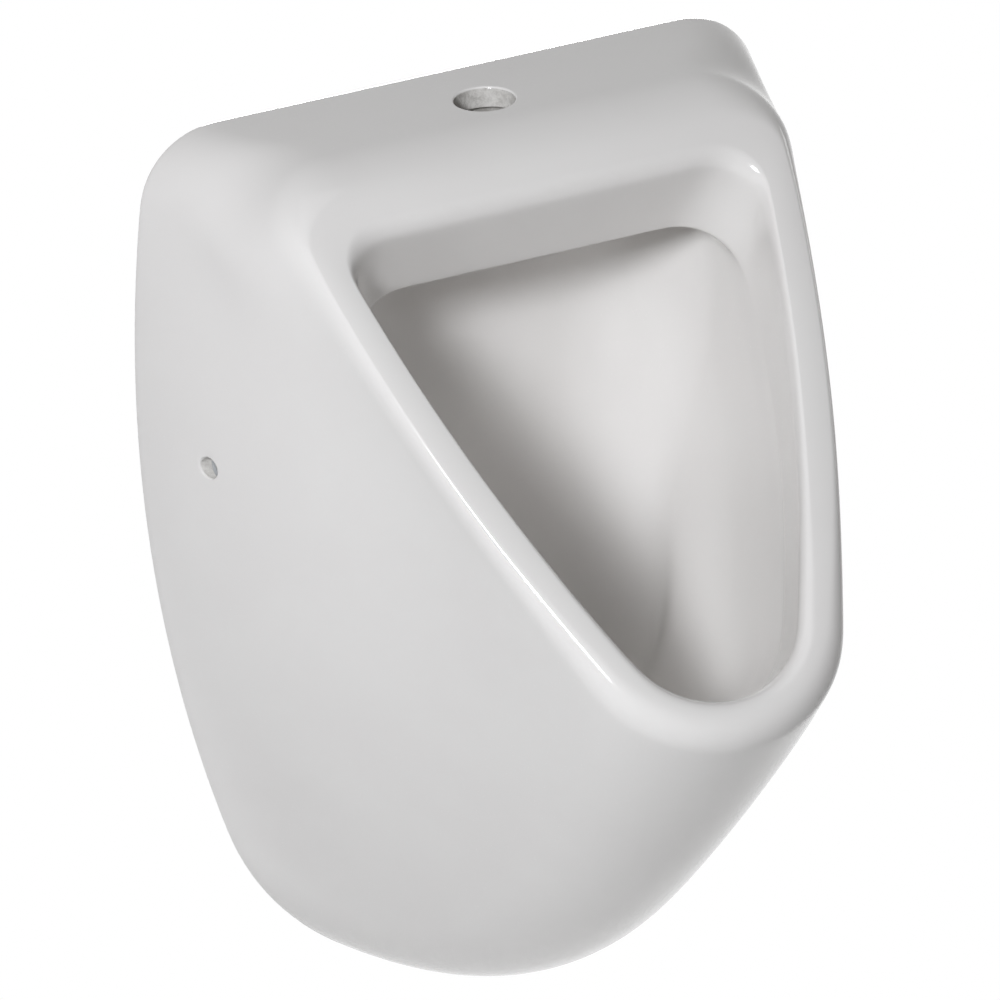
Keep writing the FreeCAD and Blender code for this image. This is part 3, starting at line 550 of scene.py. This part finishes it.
def soft_box(name, low, high, edge):
    """Box between two corners in mm with rounded edges, all of it bare china."""
    shell = bmesh.new()
    middle, size = (Vector(low) + Vector(high)) / 2, Vector(high) - Vector(low)
    bmesh.ops.create_cube(shell, size=1, matrix=Matrix.Translation(middle * MM)
                          @ Matrix.Diagonal((*(size * MM), 1)))
    bmesh.ops.bevel(shell, geom=shell.edges, offset=edge * MM, segments=4, affect="EDGES", profile=0.5)
    for face in shell.faces:
        face.material_index = BARE_SLOT
    return closed_mesh(name, shell)


def settle(piece):
    """Make a piece's evaluated shape its own plain mesh and drop its modifiers."""
    bpy.context.view_layer.update()
    evaluated = piece.evaluated_get(bpy.context.evaluated_depsgraph_get())
    plain = bpy.data.meshes.new_from_object(evaluated)
    piece.modifiers.clear()
    piece.data = plain


def join_or_cut(target, tool, operation):
    """Boolean of two closed objects; the tool is used up."""
    modifier = target.modifiers.new("tool", "BOOLEAN")
    modifier.operation, modifier.object, modifier.solver = operation, tool, "EXACT"
    settle(target)
    bpy.data.objects.remove(tool)


def at_point(across, out, up, way=(0, 0, 1)):
    """Turn +Z to a direction and move to a point, in mm."""
    turn = Vector(way).to_track_quat("Z", "Y").to_matrix().to_4x4()
    return Matrix.Translation((across, out, up)) @ turn


def round_edge(radius, edge, top, steps=7, until=80):
    """Profile points of an edge that rolls from a bore's wall out to the surface."""
    turns = [math.radians(until * step / steps) for step in range(steps + 1)]
    return [(radius + edge - edge * math.cos(turn), top - edge + edge * math.sin(turn))
            for turn in turns]


def grown_mesh(name, build, material, **sizes):
    """Object made by a Geometry Nodes tree whose named inputs are these sizes."""
    tree = bpy.data.node_groups.new(name, "GeometryNodeTree")
    tree.interface.new_socket("Geometry", in_out="OUTPUT", socket_type="NodeSocketGeometry")
    sockets = {}
    for label, value in sizes.items():
        kind = "NodeSocketInt" if isinstance(value, int) else "NodeSocketFloat"
        sockets[label] = tree.interface.new_socket(label, in_out="INPUT", socket_type=kind)
    graph = Graph(tree)
    given = tree.nodes.new("NodeGroupInput")
    shape = build(graph, {label: Wire(graph, given.outputs[label]) for label in sizes})
    real = graph.add("GeometryNodeRealizeInstances", {}, {"Geometry": shape})
    finished = graph.add("GeometryNodeSetMaterial", {}, {"Geometry": real, "Material": material})
    tree.links.new(finished.socket, tree.nodes.new("NodeGroupOutput").inputs[0])
    piece = bpy.data.objects.new(name, bpy.data.meshes.new(name))
    scene.collection.objects.link(piece)
    modifier = piece.modifiers.new("make", "NODES")
    modifier.node_group = tree
    for label, value in sizes.items():
        modifier[sockets[label].identifier] = value
    settle(piece)
    return piece


def row_of_jets(graph, size):
    """Rods side by side, which cut the jets through the channel's floor."""
    start = graph.add("ShaderNodeCombineXYZ", {}, {
        0: (size["Count"] - 1) * size["Step"] * -0.5, 1: size["Out"] * -1, 2: size["Middle height"]})
    offset = graph.add("ShaderNodeCombineXYZ", {}, {0: size["Step"], 1: 0, 2: 0})
    places = graph.add("GeometryNodeMeshLine", {"mode": "OFFSET"},
                       {"Count": size["Count"], "Start Location": start, "Offset": offset})
    rod = graph.add("GeometryNodeMeshCylinder", {}, {"Vertices": 28, "Radius": size["Radius"],
                                                     "Depth": size["Length"]}, "Mesh")
    return graph.add("GeometryNodeInstanceOnPoints", {}, {"Points": places, "Instance": rod})


block = soft_box("channel_block", (-CHANNEL_HALF - CHINA_WALL, -CHANNEL_FRONT - CHINA_WALL,
                                   CHANNEL_FLOOR - BLOCK_BELOW),
                 (CHANNEL_HALF + CHINA_WALL, -CHANNEL_BACK + CHINA_WALL, CHANNEL_ROOF + BLOCK_ABOVE),
                 BLOCK_EDGE)
join_or_cut(china, block, "UNION")
channel = soft_box("channel", (-CHANNEL_HALF, -CHANNEL_FRONT, CHANNEL_FLOOR),
                   (CHANNEL_HALF, -CHANNEL_BACK, CHANNEL_ROOF), CHANNEL_EDGE)
join_or_cut(china, channel, "DIFFERENCE")
inlet_edge = round_edge(INLET_RADIUS, INLET_EDGE, TOP)
inlet_shape = [(0, CHANNEL_FLOOR + 6), (INLET_RADIUS, CHANNEL_FLOOR + 6), *inlet_edge,
               (inlet_edge[-1][0] + 0.1, TOP + CUT_PAST), (0, TOP + CUT_PAST)]
inlet = turned("inlet", inlet_shape, at_point(0, -INLET_OUT, 0), bare_below=TOP - GLAZE_REACH)
join_or_cut(china, inlet, "DIFFERENCE")
jets = grown_mesh("flush_jets", row_of_jets, bare_china, Count=JET_COUNT, Step=JET_STEP * MM,
                  Radius=JET_RADIUS * MM, Length=JET_LENGTH * MM, Out=JET_OUT * MM,
                  **{"Middle height": JET_MIDDLE * MM})
for polygon in jets.data.polygons:
    polygon.material_index = BARE_SLOT
join_or_cut(china, jets, "DIFFERENCE")


# ----------------------------------------------------------- bowl, side fixings
# On each side a bare 11 mm bore takes the bush and screw of the wall bracket.  The
# glaze rolls over its edge.
SIDE_BORE, SIDE_EDGE, FIXING_OUT, FIXING_UP = 5.5, 0.8, 50, 328


def plain_rod(name, radius, low, high, place, count=72, bare_below=None):
    """Plain turned rod, such as the tool for a bore."""
    return turned(name, [(0, low), (radius, low), (radius, high), (0, high)], place, count, bare_below)


skin_tree = BVHTree.FromObject(china, bpy.context.evaluated_depsgraph_get())
for way in (-1, 1):
    hit, normal, *_ = skin_tree.ray_cast(Vector((way * 2 * HALF_WIDTH, -FIXING_OUT, FIXING_UP)) * MM,
                                         Vector((-way, 0, 0)))
    rolled = round_edge(SIDE_BORE + 0.2, SIDE_EDGE, 0, steps=5)
    flare = turned("side_edge", [(0, -SIDE_EDGE), *rolled, (rolled[-1][0] + 0.1, 2), (0, 2)],
                   at_point(*(hit / MM), way=normal), count=48)
    join_or_cut(china, flare, "DIFFERENCE")
    side_bore = plain_rod("side_bore", SIDE_BORE, HALF_WIDTH - 30, HALF_WIDTH + 2,
                          at_point(0, -FIXING_OUT, FIXING_UP, way=(way, 0, 0)), count=48,
                          bare_below=HALF_WIDTH + 2)
    join_or_cut(china, side_bore, "DIFFERENCE")

china.data.shade_smooth()
china.data.set_sharp_from_angle(angle=math.radians(38))
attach(china, "bowl")
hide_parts("ceramic_body")


# ------------------------------------------------------------ strainer and waste
# A pressed dome of polished steel lies loose in the flange of the waste.  The waste's
# tube goes through the drain hole, and a plastic nut clamps it between two gaskets.
slot_of = {part["node"]: part["material_slot"] for part in frame["record"]["subparts"]}
STEEL_BRIGHT, STEEL_DULL = (0.76, 0.755, 0.745), (0.69, 0.69, 0.685)
RUBBER_BLACK, RUBBER_BLOOM = (0.028, 0.028, 0.028), (0.062, 0.060, 0.058)
PLASTIC_WHITE, PLASTIC_SHADE = (0.81, 0.81, 0.79), (0.775, 0.772, 0.75)


def polished(graph, where):
    smudge = graph.noise(where, 60, 3)
    hair = graph.noise(where, 2600, 1)
    return {"Base Color": graph.tone(smudge, STEEL_BRIGHT, STEEL_DULL),
            "Roughness": 0.12 + graph.band(smudge, 0.4, 0.75) * 0.16 + hair * 0.04,
            "Normal": graph.relief(hair * 0.0000016 + smudge * 0.00001)}


def moulded_rubber(graph, where):
    bloom = graph.noise(where, 70, 4, 0.6)
    pores = graph.noise(where, 1500, 2)
    return {"Base Color": graph.tone(graph.band(bloom, 0.42, 0.75), RUBBER_BLACK, RUBBER_BLOOM),
            "Roughness": 0.52 + bloom * 0.22, "Normal": graph.relief(pores * 0.00002)}


def moulded_white(graph, where):
    flow = graph.noise(where, 26, 2)
    spark = graph.noise(where, 2100, 1)
    return {"Base Color": graph.tone(graph.band(flow, 0.3, 0.7), PLASTIC_WHITE, PLASTIC_SHADE),
            "Roughness": 0.34 + flow * 0.12, "Normal": graph.relief(spark * 0.000014 + flow * 0.0001)}


finishes = {
    "polished_steel": new_finish("polished_steel", {"Metallic": 1}, polished),
    "black_rubber": new_finish("moulded_rubber", {"Specular IOR Level": 0.4}, moulded_rubber),
    "white_polypropylene": new_finish("moulded_white", {"IOR": 1.49}, moulded_white),
}


def eased(outline, edge, steps=3):
    """Outline (radius, height) whose corners, but those on the axis, turn in small arcs."""
    points = [Vector(point) for point in outline]
    most = 0.42              # share of a side that one arc may take
    eased_points = []
    for index, corner in enumerate(points):
        before, after = points[index - 1], points[(index + 1) % len(points)]
        if corner.x == 0:
            eased_points.append(tuple(corner))
            continue
        start = corner + (before - corner).normalized() * min(edge, (before - corner).length * most)
        end = corner + (after - corner).normalized() * min(edge, (after - corner).length * most)
        for step in range(steps):
            share = step / (steps - 1)
            eased_points.append(tuple(start.lerp(corner, share).lerp(corner.lerp(end, share), share)))
    return eased_points


def tube(inner, outer, low, high):
    """Outline of a plain ring."""
    return [(inner, low), (outer, low), (outer, high), (inner, high)]


def fit(piece, node, body="bowl"):
    """Give a piece its finish and smooth shading, and put it in its node's place."""
    mesh = piece.data
    mesh.materials.clear()
    mesh.materials.append(finishes[slot_of[node]])
    mesh.polygons.foreach_set("material_index", [0] * len(mesh.polygons))
    mesh.shade_smooth()
    mesh.set_sharp_from_angle(angle=math.radians(40))
    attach(piece, body)
    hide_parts(node)


def rods_in_circle(graph, size):
    """Rods that stand round the axis, for finger grips, ribs and strainer holes."""
    ring = graph.add("GeometryNodeMeshCircle", {},
                     {"Vertices": size["Count"], "Radius": size["Circle"]})
    rod = graph.add("GeometryNodeMeshCylinder", {}, {"Vertices": 16, "Radius": size["Radius"],
                                                     "Depth": size["Length"]}, "Mesh")
    return graph.add("GeometryNodeInstanceOnPoints", {}, {"Points": ring, "Instance": rod})


def put(piece, place):
    """Place a mesh made about the origin in metres; the point is in mm."""
    place = place.copy()
    place.translation = place.translation * MM
    piece.data.transform(place)
    return piece


def circle_of_rods(name, place, count, circle, radius, length):
    """One mesh of rods round an axis, in mm."""
    rods = grown_mesh(name, rods_in_circle, finishes["white_polypropylene"], Count=count,
                      Circle=circle * MM, Radius=radius * MM, Length=length * MM)
    return put(rods, place)


def on_drain(up):
    """Place on the drain's upright axis, a height above or below the sump's floor."""
    return at_point(0, -DRAIN_OUT, SUMP_FLOOR + up)


STRAINER_UP, STRAINER_RADIUS, STRAINER_RISE, SHEET = 4.5, 25, 9, 2
DOME_INSIDE, DOME_OUTSIDE, DOME_POWER = 21, 22.2, 2.6
dome, outer_dome = [(0, STRAINER_RISE - SHEET)], [(0, STRAINER_RISE)]
for share in np.linspace(0.02, 1, 12):
    high = (STRAINER_RISE - SHEET) * (1 - share ** DOME_POWER)
    dome.append((share * DOME_INSIDE, high))
    outer_dome.append((share * DOME_OUTSIDE, SHEET + high))
dome += [(24.2, 0.05), (STRAINER_RADIUS, 0.7), (24.6, 1.8)]
strainer = turned("strainer_dome", dome + outer_dome[::-1], on_drain(STRAINER_UP), count=96)
for count, circle, radius in ((6, 6, 2.1), (12, 14.5, 2.5)):
    join_or_cut(strainer, circle_of_rods("strainer_holes", on_drain(STRAINER_UP + 6), count, circle,
                                         radius, length=30), "DIFFERENCE")
fit(strainer, "strainer", body="strainer")

PIPE_BORE, PIPE_RADIUS, LOOSE_RADIUS = 17.5, 20, 20.3    # 40 mm pipe and a hole that clears it
GRIPS, GRIP_RADIUS, NUT_LIP = 10, 1.6, 3


def gripped_nut(name, place, inner, outer, tall, lip=None):
    """Round moulded nut with finger grips; a lip closes its far end."""
    profile = tube(inner, outer, 0, tall)
    if lip:
        profile[3:] = [(lip, tall), (lip, tall - NUT_LIP), (inner, tall - NUT_LIP)]
    nut = turned(name, eased(profile, 0.9), place, count=96)
    grips = circle_of_rods("grips", place @ Matrix.Translation((0, 0, tall / 2)), GRIPS,
                           outer + GRIP_RADIUS / 2, GRIP_RADIUS, tall + 4)
    join_or_cut(nut, grips, "DIFFERENCE")
    return nut


def fit_turned(node, name, place, profile, edge, count=72):
    """Turned piece with eased edges, fitted in its node's place."""
    fit(turned(name, eased(profile, edge), place, count), node)


waste = [(PIPE_BORE, -41), (PIPE_RADIUS, -41), (PIPE_RADIUS, 1.5), (30, 1.5), (30, 3.3), (28.2, 4.5),
         (26.6, 4.5), (26.1, 4.1), (18.6, 4.1), (PIPE_BORE, 3)]
fit_turned("waste_gasket_upper", "waste_gasket_ring_upper", on_drain(0),
           tube(DRAIN_HOLE, 30, 0, 1.5), edge=0.4)
fit_turned("drain_waste", "waste_tube", on_drain(0), waste, edge=0.5, count=96)
fit_turned("waste_gasket_lower", "waste_gasket_ring_lower", on_drain(0),
           tube(LOOSE_RADIUS, 31, -14, -11), edge=0.8)
fit(gripped_nut("back_nut_moulding", on_drain(-22), LOOSE_RADIUS, outer=29, tall=8), "waste_back_nut")


# ------------------------------------------------------------------ bottle trap
# A moulded white bottle trap hangs from the waste: union nut, head with a branch, dip
# tube and a cup that screws on.  Its pipe enters the wall in a ribbed rubber seal.
fit(gripped_nut("union_nut_moulding", on_drain(-42), 24.8, outer=28, tall=17, lip=LOOSE_RADIUS),
    "trap_union_nut")
fit_turned("trap_inlet_seal", "trap_cone_seal", on_drain(0),
           tube(PIPE_RADIUS, 24.5, -38, -33), edge=0.8)

PIPE_UP = SUMP_FLOOR - 66
HEAD_RADIUS, CHAMBER_RADIUS, BRANCH_RADIUS = 30, 27.5, 22.8


def on_pipe(out):
    """Place on the outlet pipe's level axis, turned to the wall."""
    return at_point(0, out, PIPE_UP, way=(0, 1, 0))


head_shape = [(0, -60), (HEAD_RADIUS, -60), (HEAD_RADIUS, -5), (24.5, -5), (24.5, 0), (0, 0)]
head = turned("trap_head_moulding", eased(head_shape, 1.2), on_drain(-38), count=96)
branch = turned("branch", eased([(0, 0), (BRANCH_RADIUS, 0), (BRANCH_RADIUS, 54), (0, 54)], 0.5),
                on_pipe(-DRAIN_OUT))
join_or_cut(head, branch, "UNION")
chamber = turned("chamber", [(0, -62), (CHAMBER_RADIUS, -62), (CHAMBER_RADIUS, -7.5), (15.3, -7.5),
                             (15.3, -5), (LOOSE_RADIUS, -5), (LOOSE_RADIUS, 2), (0, 2)],
                 on_drain(-38), count=96)
join_or_cut(head, chamber, "DIFFERENCE")
join_or_cut(head, plain_rod("branch_bore", LOOSE_RADIUS, 0, 58, on_pipe(-DRAIN_OUT)), "DIFFERENCE")
fit(head, "trap_head")

dip = [(12.5, -76.8), (15, -76.8), (15, 0), (PIPE_RADIUS, 0), (PIPE_RADIUS, 1.2), (12.5, 1.2)]
fit_turned("dip_tube", "dip_tube_moulding", on_drain(-43), dip, edge=0.4)
fit_turned("cup_seal", "cup_flat_seal", on_drain(-100.5),
           tube(CHAMBER_RADIUS, HEAD_RADIUS, 0, 2.5), edge=0.5)

cup_shape = [(0, 0), (20, 0), (22.6, 0.9), (32, 10.4), (33, 12.8), (33, 42), (30.3, 42), (30.3, 31.5),
             (27.2, 31.5), (27.2, 14.5), (15.2, 2.5), (0, 2.5)]
cup = turned("trap_cup_moulding", eased(cup_shape, 0.9), on_drain(-132), count=120)
ribs = circle_of_rods("cup_ribs", on_drain(-132) @ Matrix.Translation((0, 0, 30)), count=30,
                      circle=32.7, radius=1.0, length=17)
join_or_cut(cup, ribs, "UNION")
fit(cup, "trap_cup")

fit(gripped_nut("outlet_nut_moulding", on_pipe(-34.5), 23.1, outer=28, tall=17, lip=LOOSE_RADIUS),
    "outlet_union_nut")
fit_turned("outlet_seal", "outlet_cone_seal", on_pipe(0),
           tube(PIPE_RADIUS, BRANCH_RADIUS, -26, -21), edge=0.7)
fit_turned("outlet_pipe", "outlet_tube", on_pipe(0),
           tube(PIPE_BORE, PIPE_RADIUS, -44, 48), edge=0.7, count=96)
LIP_RADIUS, LIP_COUNT, LIP_STEP = 29, 3, 6.5
lips = [(PIPE_RADIUS, 8), (LIP_RADIUS, 8), (LIP_RADIUS, 11)]
for lip in range(LIP_COUNT):
    lips += [(radius, along + lip * LIP_STEP)
             for radius, along in ((26.4, 13), (26.4, 15.5), (LIP_RADIUS, 16.6), (LIP_RADIUS, 17.6))]
lips += [(28, 34), (PIPE_RADIUS, 34)]
fit_turned("wall_outlet_seal", "wall_lip_seal", on_pipe(0), lips, edge=0.5, count=96)


# ----------------------------------------------------------------- wall fixings
# On each side a bent, zinc plated bracket is screwed to the wall through a ribbed nylon
# plug, and a set screw in a nylon bush holds the china on the bracket's arm.
ZINC_PALE, ZINC_DARK = (0.64, 0.65, 0.645), (0.50, 0.515, 0.52)
NYLON_GREY, NYLON_SHADE = (0.43, 0.44, 0.45), (0.375, 0.385, 0.395)


def zinc_plated(graph, where):
    cells = graph.add("ShaderNodeTexVoronoi", {}, {"Vector": where, "Scale": 190.0}, "Color")
    share = graph.add("ShaderNodeSeparateColor", {}, {0: cells}, 0)
    rub = graph.noise(where, 420, 4, 0.65)
    return {"Base Color": graph.tone(share * 0.5 + rub * 0.5, ZINC_PALE, ZINC_DARK),
            "Roughness": 0.3 + rub * 0.22, "Normal": graph.relief(rub * 0.00003)}


def moulded_grey(graph, where):
    flow = graph.noise(where, 60, 2)
    spark = graph.noise(where, 2400, 1)
    return {"Base Color": graph.tone(flow, NYLON_GREY, NYLON_SHADE),
            "Roughness": 0.42 + spark * 0.14, "Normal": graph.relief(spark * 0.000016)}


finishes["galvanised_steel"] = new_finish("zinc_plated_steel", {"Metallic": 1}, zinc_plated)
finishes["grey_nylon"] = new_finish("moulded_grey", {"IOR": 1.53}, moulded_grey)
SCREW_CORE, SCREW_RADIUS, SCREW_PITCH, SCREW_RIDGE = 3.35, 4, 1.25, 0.62


def screw_thread(graph, size):
    """A ridge that winds up the screw, from a small triangle swept along a spiral."""
    spiral = graph.add("GeometryNodeCurveSpiral", {}, {
        "Resolution": 20, "Rotations": size["Length"] / size["Pitch"], "Start Radius": size["Core"],
        "End Radius": size["Core"], "Height": size["Length"]})
    ridge = graph.add("GeometryNodeCurvePrimitiveCircle", {"mode": "RADIUS"},
                      {"Resolution": 3, "Radius": size["Ridge"]})
    return graph.add("GeometryNodeCurveToMesh", {}, {"Curve": spiral, "Profile Curve": ridge,
                                                     "Fill Caps": True})


def threaded(name, profile, start, length, place):
    """Turned screw body with its thread as a second closed shell."""
    core = turned(name, profile, place, count=40)
    thread = grown_mesh("thread", screw_thread, finishes["galvanised_steel"], Length=length * MM,
                        Pitch=SCREW_PITCH * MM, Core=SCREW_CORE * MM, Ridge=SCREW_RIDGE * MM)
    put(thread, place @ Matrix.Translation((0, 0, start)))
    both = bmesh.new()
    both.from_mesh(core.data)
    both.from_mesh(thread.data)
    bpy.data.objects.remove(thread)
    both.to_mesh(core.data)
    both.free()
    return core


def hexagon(name, corner, low, high, place, bore=0):
    """Hexagon with its corners chamfered, such as a screw's head or a nut."""
    blank = plain_rod(name, corner, low, high, place, count=6)
    flat, widest, chamfer = corner * 0.93, corner * 1.02, 0.9
    rounding = turned("chamfer", [(0, low), (flat, low), (widest, low + chamfer),
                                  (widest, high - chamfer), (flat, high), (0, high)], place, count=48)
    join_or_cut(blank, rounding, "INTERSECT")
    if bore:
        join_or_cut(blank, plain_rod("bore", bore, low - 1, high + 1, place, count=32), "DIFFERENCE")
    return blank


HEX_CORNER, NUT_BORE, KEY_CORNER = 7.5, 4.2, 2.3
PLUG_RADIUS, PLUG_BORE, PLUG_LENGTH = 6, 4.15, 60
BARB_COUNT, BARB_STEP, BARB_FOOT = 12, 4.4, 5.35
SLIT_WIDTH, SLIT_DEPTH, SLIT_LENGTH, SLIT_MIDDLE = 1.1, 20, 36, 36
for hand, way in (("left", -1), ("right", 1)):
    screw_place = at_point(way * (HALF_WIDTH - 53), 0, FIXING_UP, way=(0, 1, 0))
    screw_shape = [(0, -5.6), (SCREW_RADIUS, -5.6), (SCREW_RADIUS, 2), (SCREW_CORE, 2.6),
                   (SCREW_CORE, 58), (1.2, 62), (0, 62)]
    screw = threaded(f"wall_screw_{hand}_steel", screw_shape, start=3, length=55, place=screw_place)
    join_or_cut(screw, hexagon("head", HEX_CORNER, low=-11.1, high=-5.5, place=screw_place), "UNION")
    fit(screw, f"wall_screw_{hand}")
    fit_turned(f"washer_{hand}", f"washer_{hand}_steel", screw_place,
               tube(4.3, 12, -5.6, -4), edge=0.35)
    barbs = [(PLUG_BORE, 0), (PLUG_RADIUS, 0), (PLUG_RADIUS, 1.6)]
    for barb in range(BARB_COUNT):
        barbs += [(radius, along + barb * BARB_STEP) for radius, along in (
            (BARB_FOOT, 4), (BARB_FOOT, 5), (PLUG_RADIUS, 7.4), (PLUG_RADIUS, 7.8))]
    barbs += [(5, PLUG_LENGTH), (PLUG_BORE, PLUG_LENGTH)]
    plug = turned(f"wall_plug_{hand}_moulding", barbs, screw_place, count=48)
    for turn in (0, math.pi / 2):
        shell = bmesh.new()
        bmesh.ops.create_cube(shell, size=1, matrix=Matrix.Diagonal(
            (SLIT_WIDTH * MM, SLIT_DEPTH * MM, SLIT_LENGTH * MM, 1)))
        slit = closed_mesh("slit", shell)
        put(slit, screw_place @ Matrix.Rotation(turn, 4, "Z") @ Matrix.Translation((0, 0, SLIT_MIDDLE)))
        join_or_cut(plug, slit, "DIFFERENCE")
    fit(plug, f"wall_plug_{hand}")

    side_place = at_point(0, -FIXING_OUT, FIXING_UP, way=(way, 0, 0))
    set_screw_shape = [(0, 130), (3, 130), (SCREW_CORE, 130.5), (SCREW_CORE, 153.4), (3, 154), (0, 154)]
    set_screw = threaded(f"side_screw_{hand}_steel", set_screw_shape, start=130.8, length=22.4,
                         place=side_place)
    join_or_cut(set_screw, plain_rod("key", KEY_CORNER, 149, 156, side_place, count=6), "DIFFERENCE")
    fit(set_screw, f"side_screw_{hand}")
    side_nut = hexagon(f"side_nut_{hand}_steel", HEX_CORNER, low=131.5, high=138, place=side_place,
                       bore=NUT_BORE)
    fit(side_nut, f"side_nut_{hand}")
    bush = [(4.15, 142.4), (8, 142.4), (8, 144.4), (5.15, 144.4), (5.15, 154.9), (4.15, 154.9)]
    fit_turned(f"side_bush_{hand}", f"side_bush_{hand}_moulding", side_place, bush, edge=0.35,
               count=48)
    for slot in frame["nodes"][f"wall_bracket_{hand}"].material_slots:
        slot.material = finishes["galvanised_steel"]


# --------------------------------------------------------------- studio, camera
# A white studio: pale floor and backdrop, soft lamps, and the photograph's view from
# a long lens that looks down on the bowl from its left.
PICTURE_PIXELS, SENSOR_WIDTH = 1000, 36
FOCAL_PIXELS, PIXELS_PER_MM = 10097, 2.05
AZIMUTH, ELEVATION, ROLL = (math.radians(turn) for turn in (-24.16, 25.09, -2.7))
LOOK_AT = Vector((0, -120, 250)) * MM
SHIFT_RIGHT, SHIFT_UP = 35.38 * MM, -46.53 * MM
backward = Vector((math.sin(AZIMUTH) * math.cos(ELEVATION),
                   -math.cos(AZIMUTH) * math.cos(ELEVATION), math.sin(ELEVATION)))
level_right = Vector((math.cos(AZIMUTH), math.sin(AZIMUTH), 0))
level_up = backward.cross(level_right)
right = level_right * math.cos(ROLL) + level_up * math.sin(ROLL)
up = level_up * math.cos(ROLL) - level_right * math.sin(ROLL)
distance = FOCAL_PIXELS / PIXELS_PER_MM * MM
camera_data = bpy.data.cameras.new("camera")
camera_data.sensor_width = SENSOR_WIDTH
camera_data.lens = FOCAL_PIXELS / PICTURE_PIXELS * SENSOR_WIDTH
camera_data.clip_end = 100
camera = bpy.data.objects.new("camera", camera_data)
scene.collection.objects.link(camera)
place = Matrix((right, up, backward)).transposed().to_4x4()
place.translation = LOOK_AT - right * SHIFT_RIGHT - up * SHIFT_UP + backward * distance
camera.matrix_world = place
scene.camera = camera


def seen_white(material, lit, white, output):
    """Show white to camera, glossy and transmission rays and the lit surface to others."""
    graph = Graph(material.node_tree)
    path = [graph.add("ShaderNodeLightPath", {}, {}, f"Is {kind} Ray")
            for kind in ("Camera", "Glossy", "Transmission")]
    seen = path[0].sum("MAXIMUM", path[0].sum("MAXIMUM", *path[:2]), path[2])
    mixed = graph.add("ShaderNodeMixShader", {}, {0: seen, 1: Wire(graph, lit.outputs[0]), 2: white})
    graph.feed(graph.tree.nodes[output], {"Surface": mixed})


floor_mesh = bpy.data.meshes.new("floor")
FLOOR_UP, FLOOR_HALF = -0.42, 12.0
floor_mesh.from_pydata([(-FLOOR_HALF, -FLOOR_HALF, FLOOR_UP), (FLOOR_HALF, -FLOOR_HALF, FLOOR_UP),
                        (FLOOR_HALF, FLOOR_HALF, FLOOR_UP), (-FLOOR_HALF, FLOOR_HALF, FLOOR_UP)],
                       [], [(0, 1, 2, 3)])
floor = bpy.data.objects.new("floor", floor_mesh)
scene.collection.objects.link(floor)
floor_paint = bpy.data.materials.new("pale_floor")
floor_paint.use_nodes = True
paint = floor_paint.node_tree.nodes["Principled BSDF"]
paint.inputs["Base Color"].default_value = (0.8, 0.8, 0.8, 1)
paint.inputs["Roughness"].default_value = 1
seen_white(floor_paint, paint, Graph(floor_paint.node_tree).add(
    "ShaderNodeEmission", {}, {"Color": (1, 1, 1)}), "Material Output")
floor_mesh.materials.append(floor_paint)

AMBIENT = 0.06
world = bpy.data.worlds.new("studio")
world.use_nodes = True
scene.world = world
sky = world.node_tree.nodes["Background"]
sky.inputs["Color"].default_value = (1, 0.94, 0.88, 1)
sky.inputs["Strength"].default_value = AMBIENT
seen_white(world, sky, Graph(world.node_tree).add(
    "ShaderNodeBackground", {}, {"Color": (1, 1, 1)}), "World Output")


def soft_lamp(name, azimuth, elevation, distance, side, watts, colour=(1, 1, 1)):
    """Square soft box that looks at the bowl; turns in degrees, distance and side in metres."""
    a, e = math.radians(azimuth), math.radians(elevation)
    toward = Vector((math.sin(a) * math.cos(e), -math.cos(a) * math.cos(e), math.sin(e)))
    lamp = bpy.data.lights.new(name, "AREA")
    lamp.shape = "SQUARE"
    lamp.size = side
    lamp.energy = watts
    lamp.color = colour
    holder = bpy.data.objects.new(name, lamp)
    scene.collection.objects.link(holder)
    holder.location = LOOK_AT + toward * distance
    holder.rotation_euler = toward.to_track_quat("Z", "Y").to_euler()


soft_lamp("key_lamp", -45, 33, distance=2.6, side=0.5, watts=52, colour=(0.985, 1.0, 1.03))
soft_lamp("top_lamp", -24, 88, distance=2.4, side=1.3, watts=3)
soft_lamp("back_lamp", 158, -3, distance=2.4, side=0.7, watts=18)
soft_lamp("side_lamp", 105, 8, distance=2.4, side=0.8, watts=4)

scene.view_settings.view_transform = "Standard"
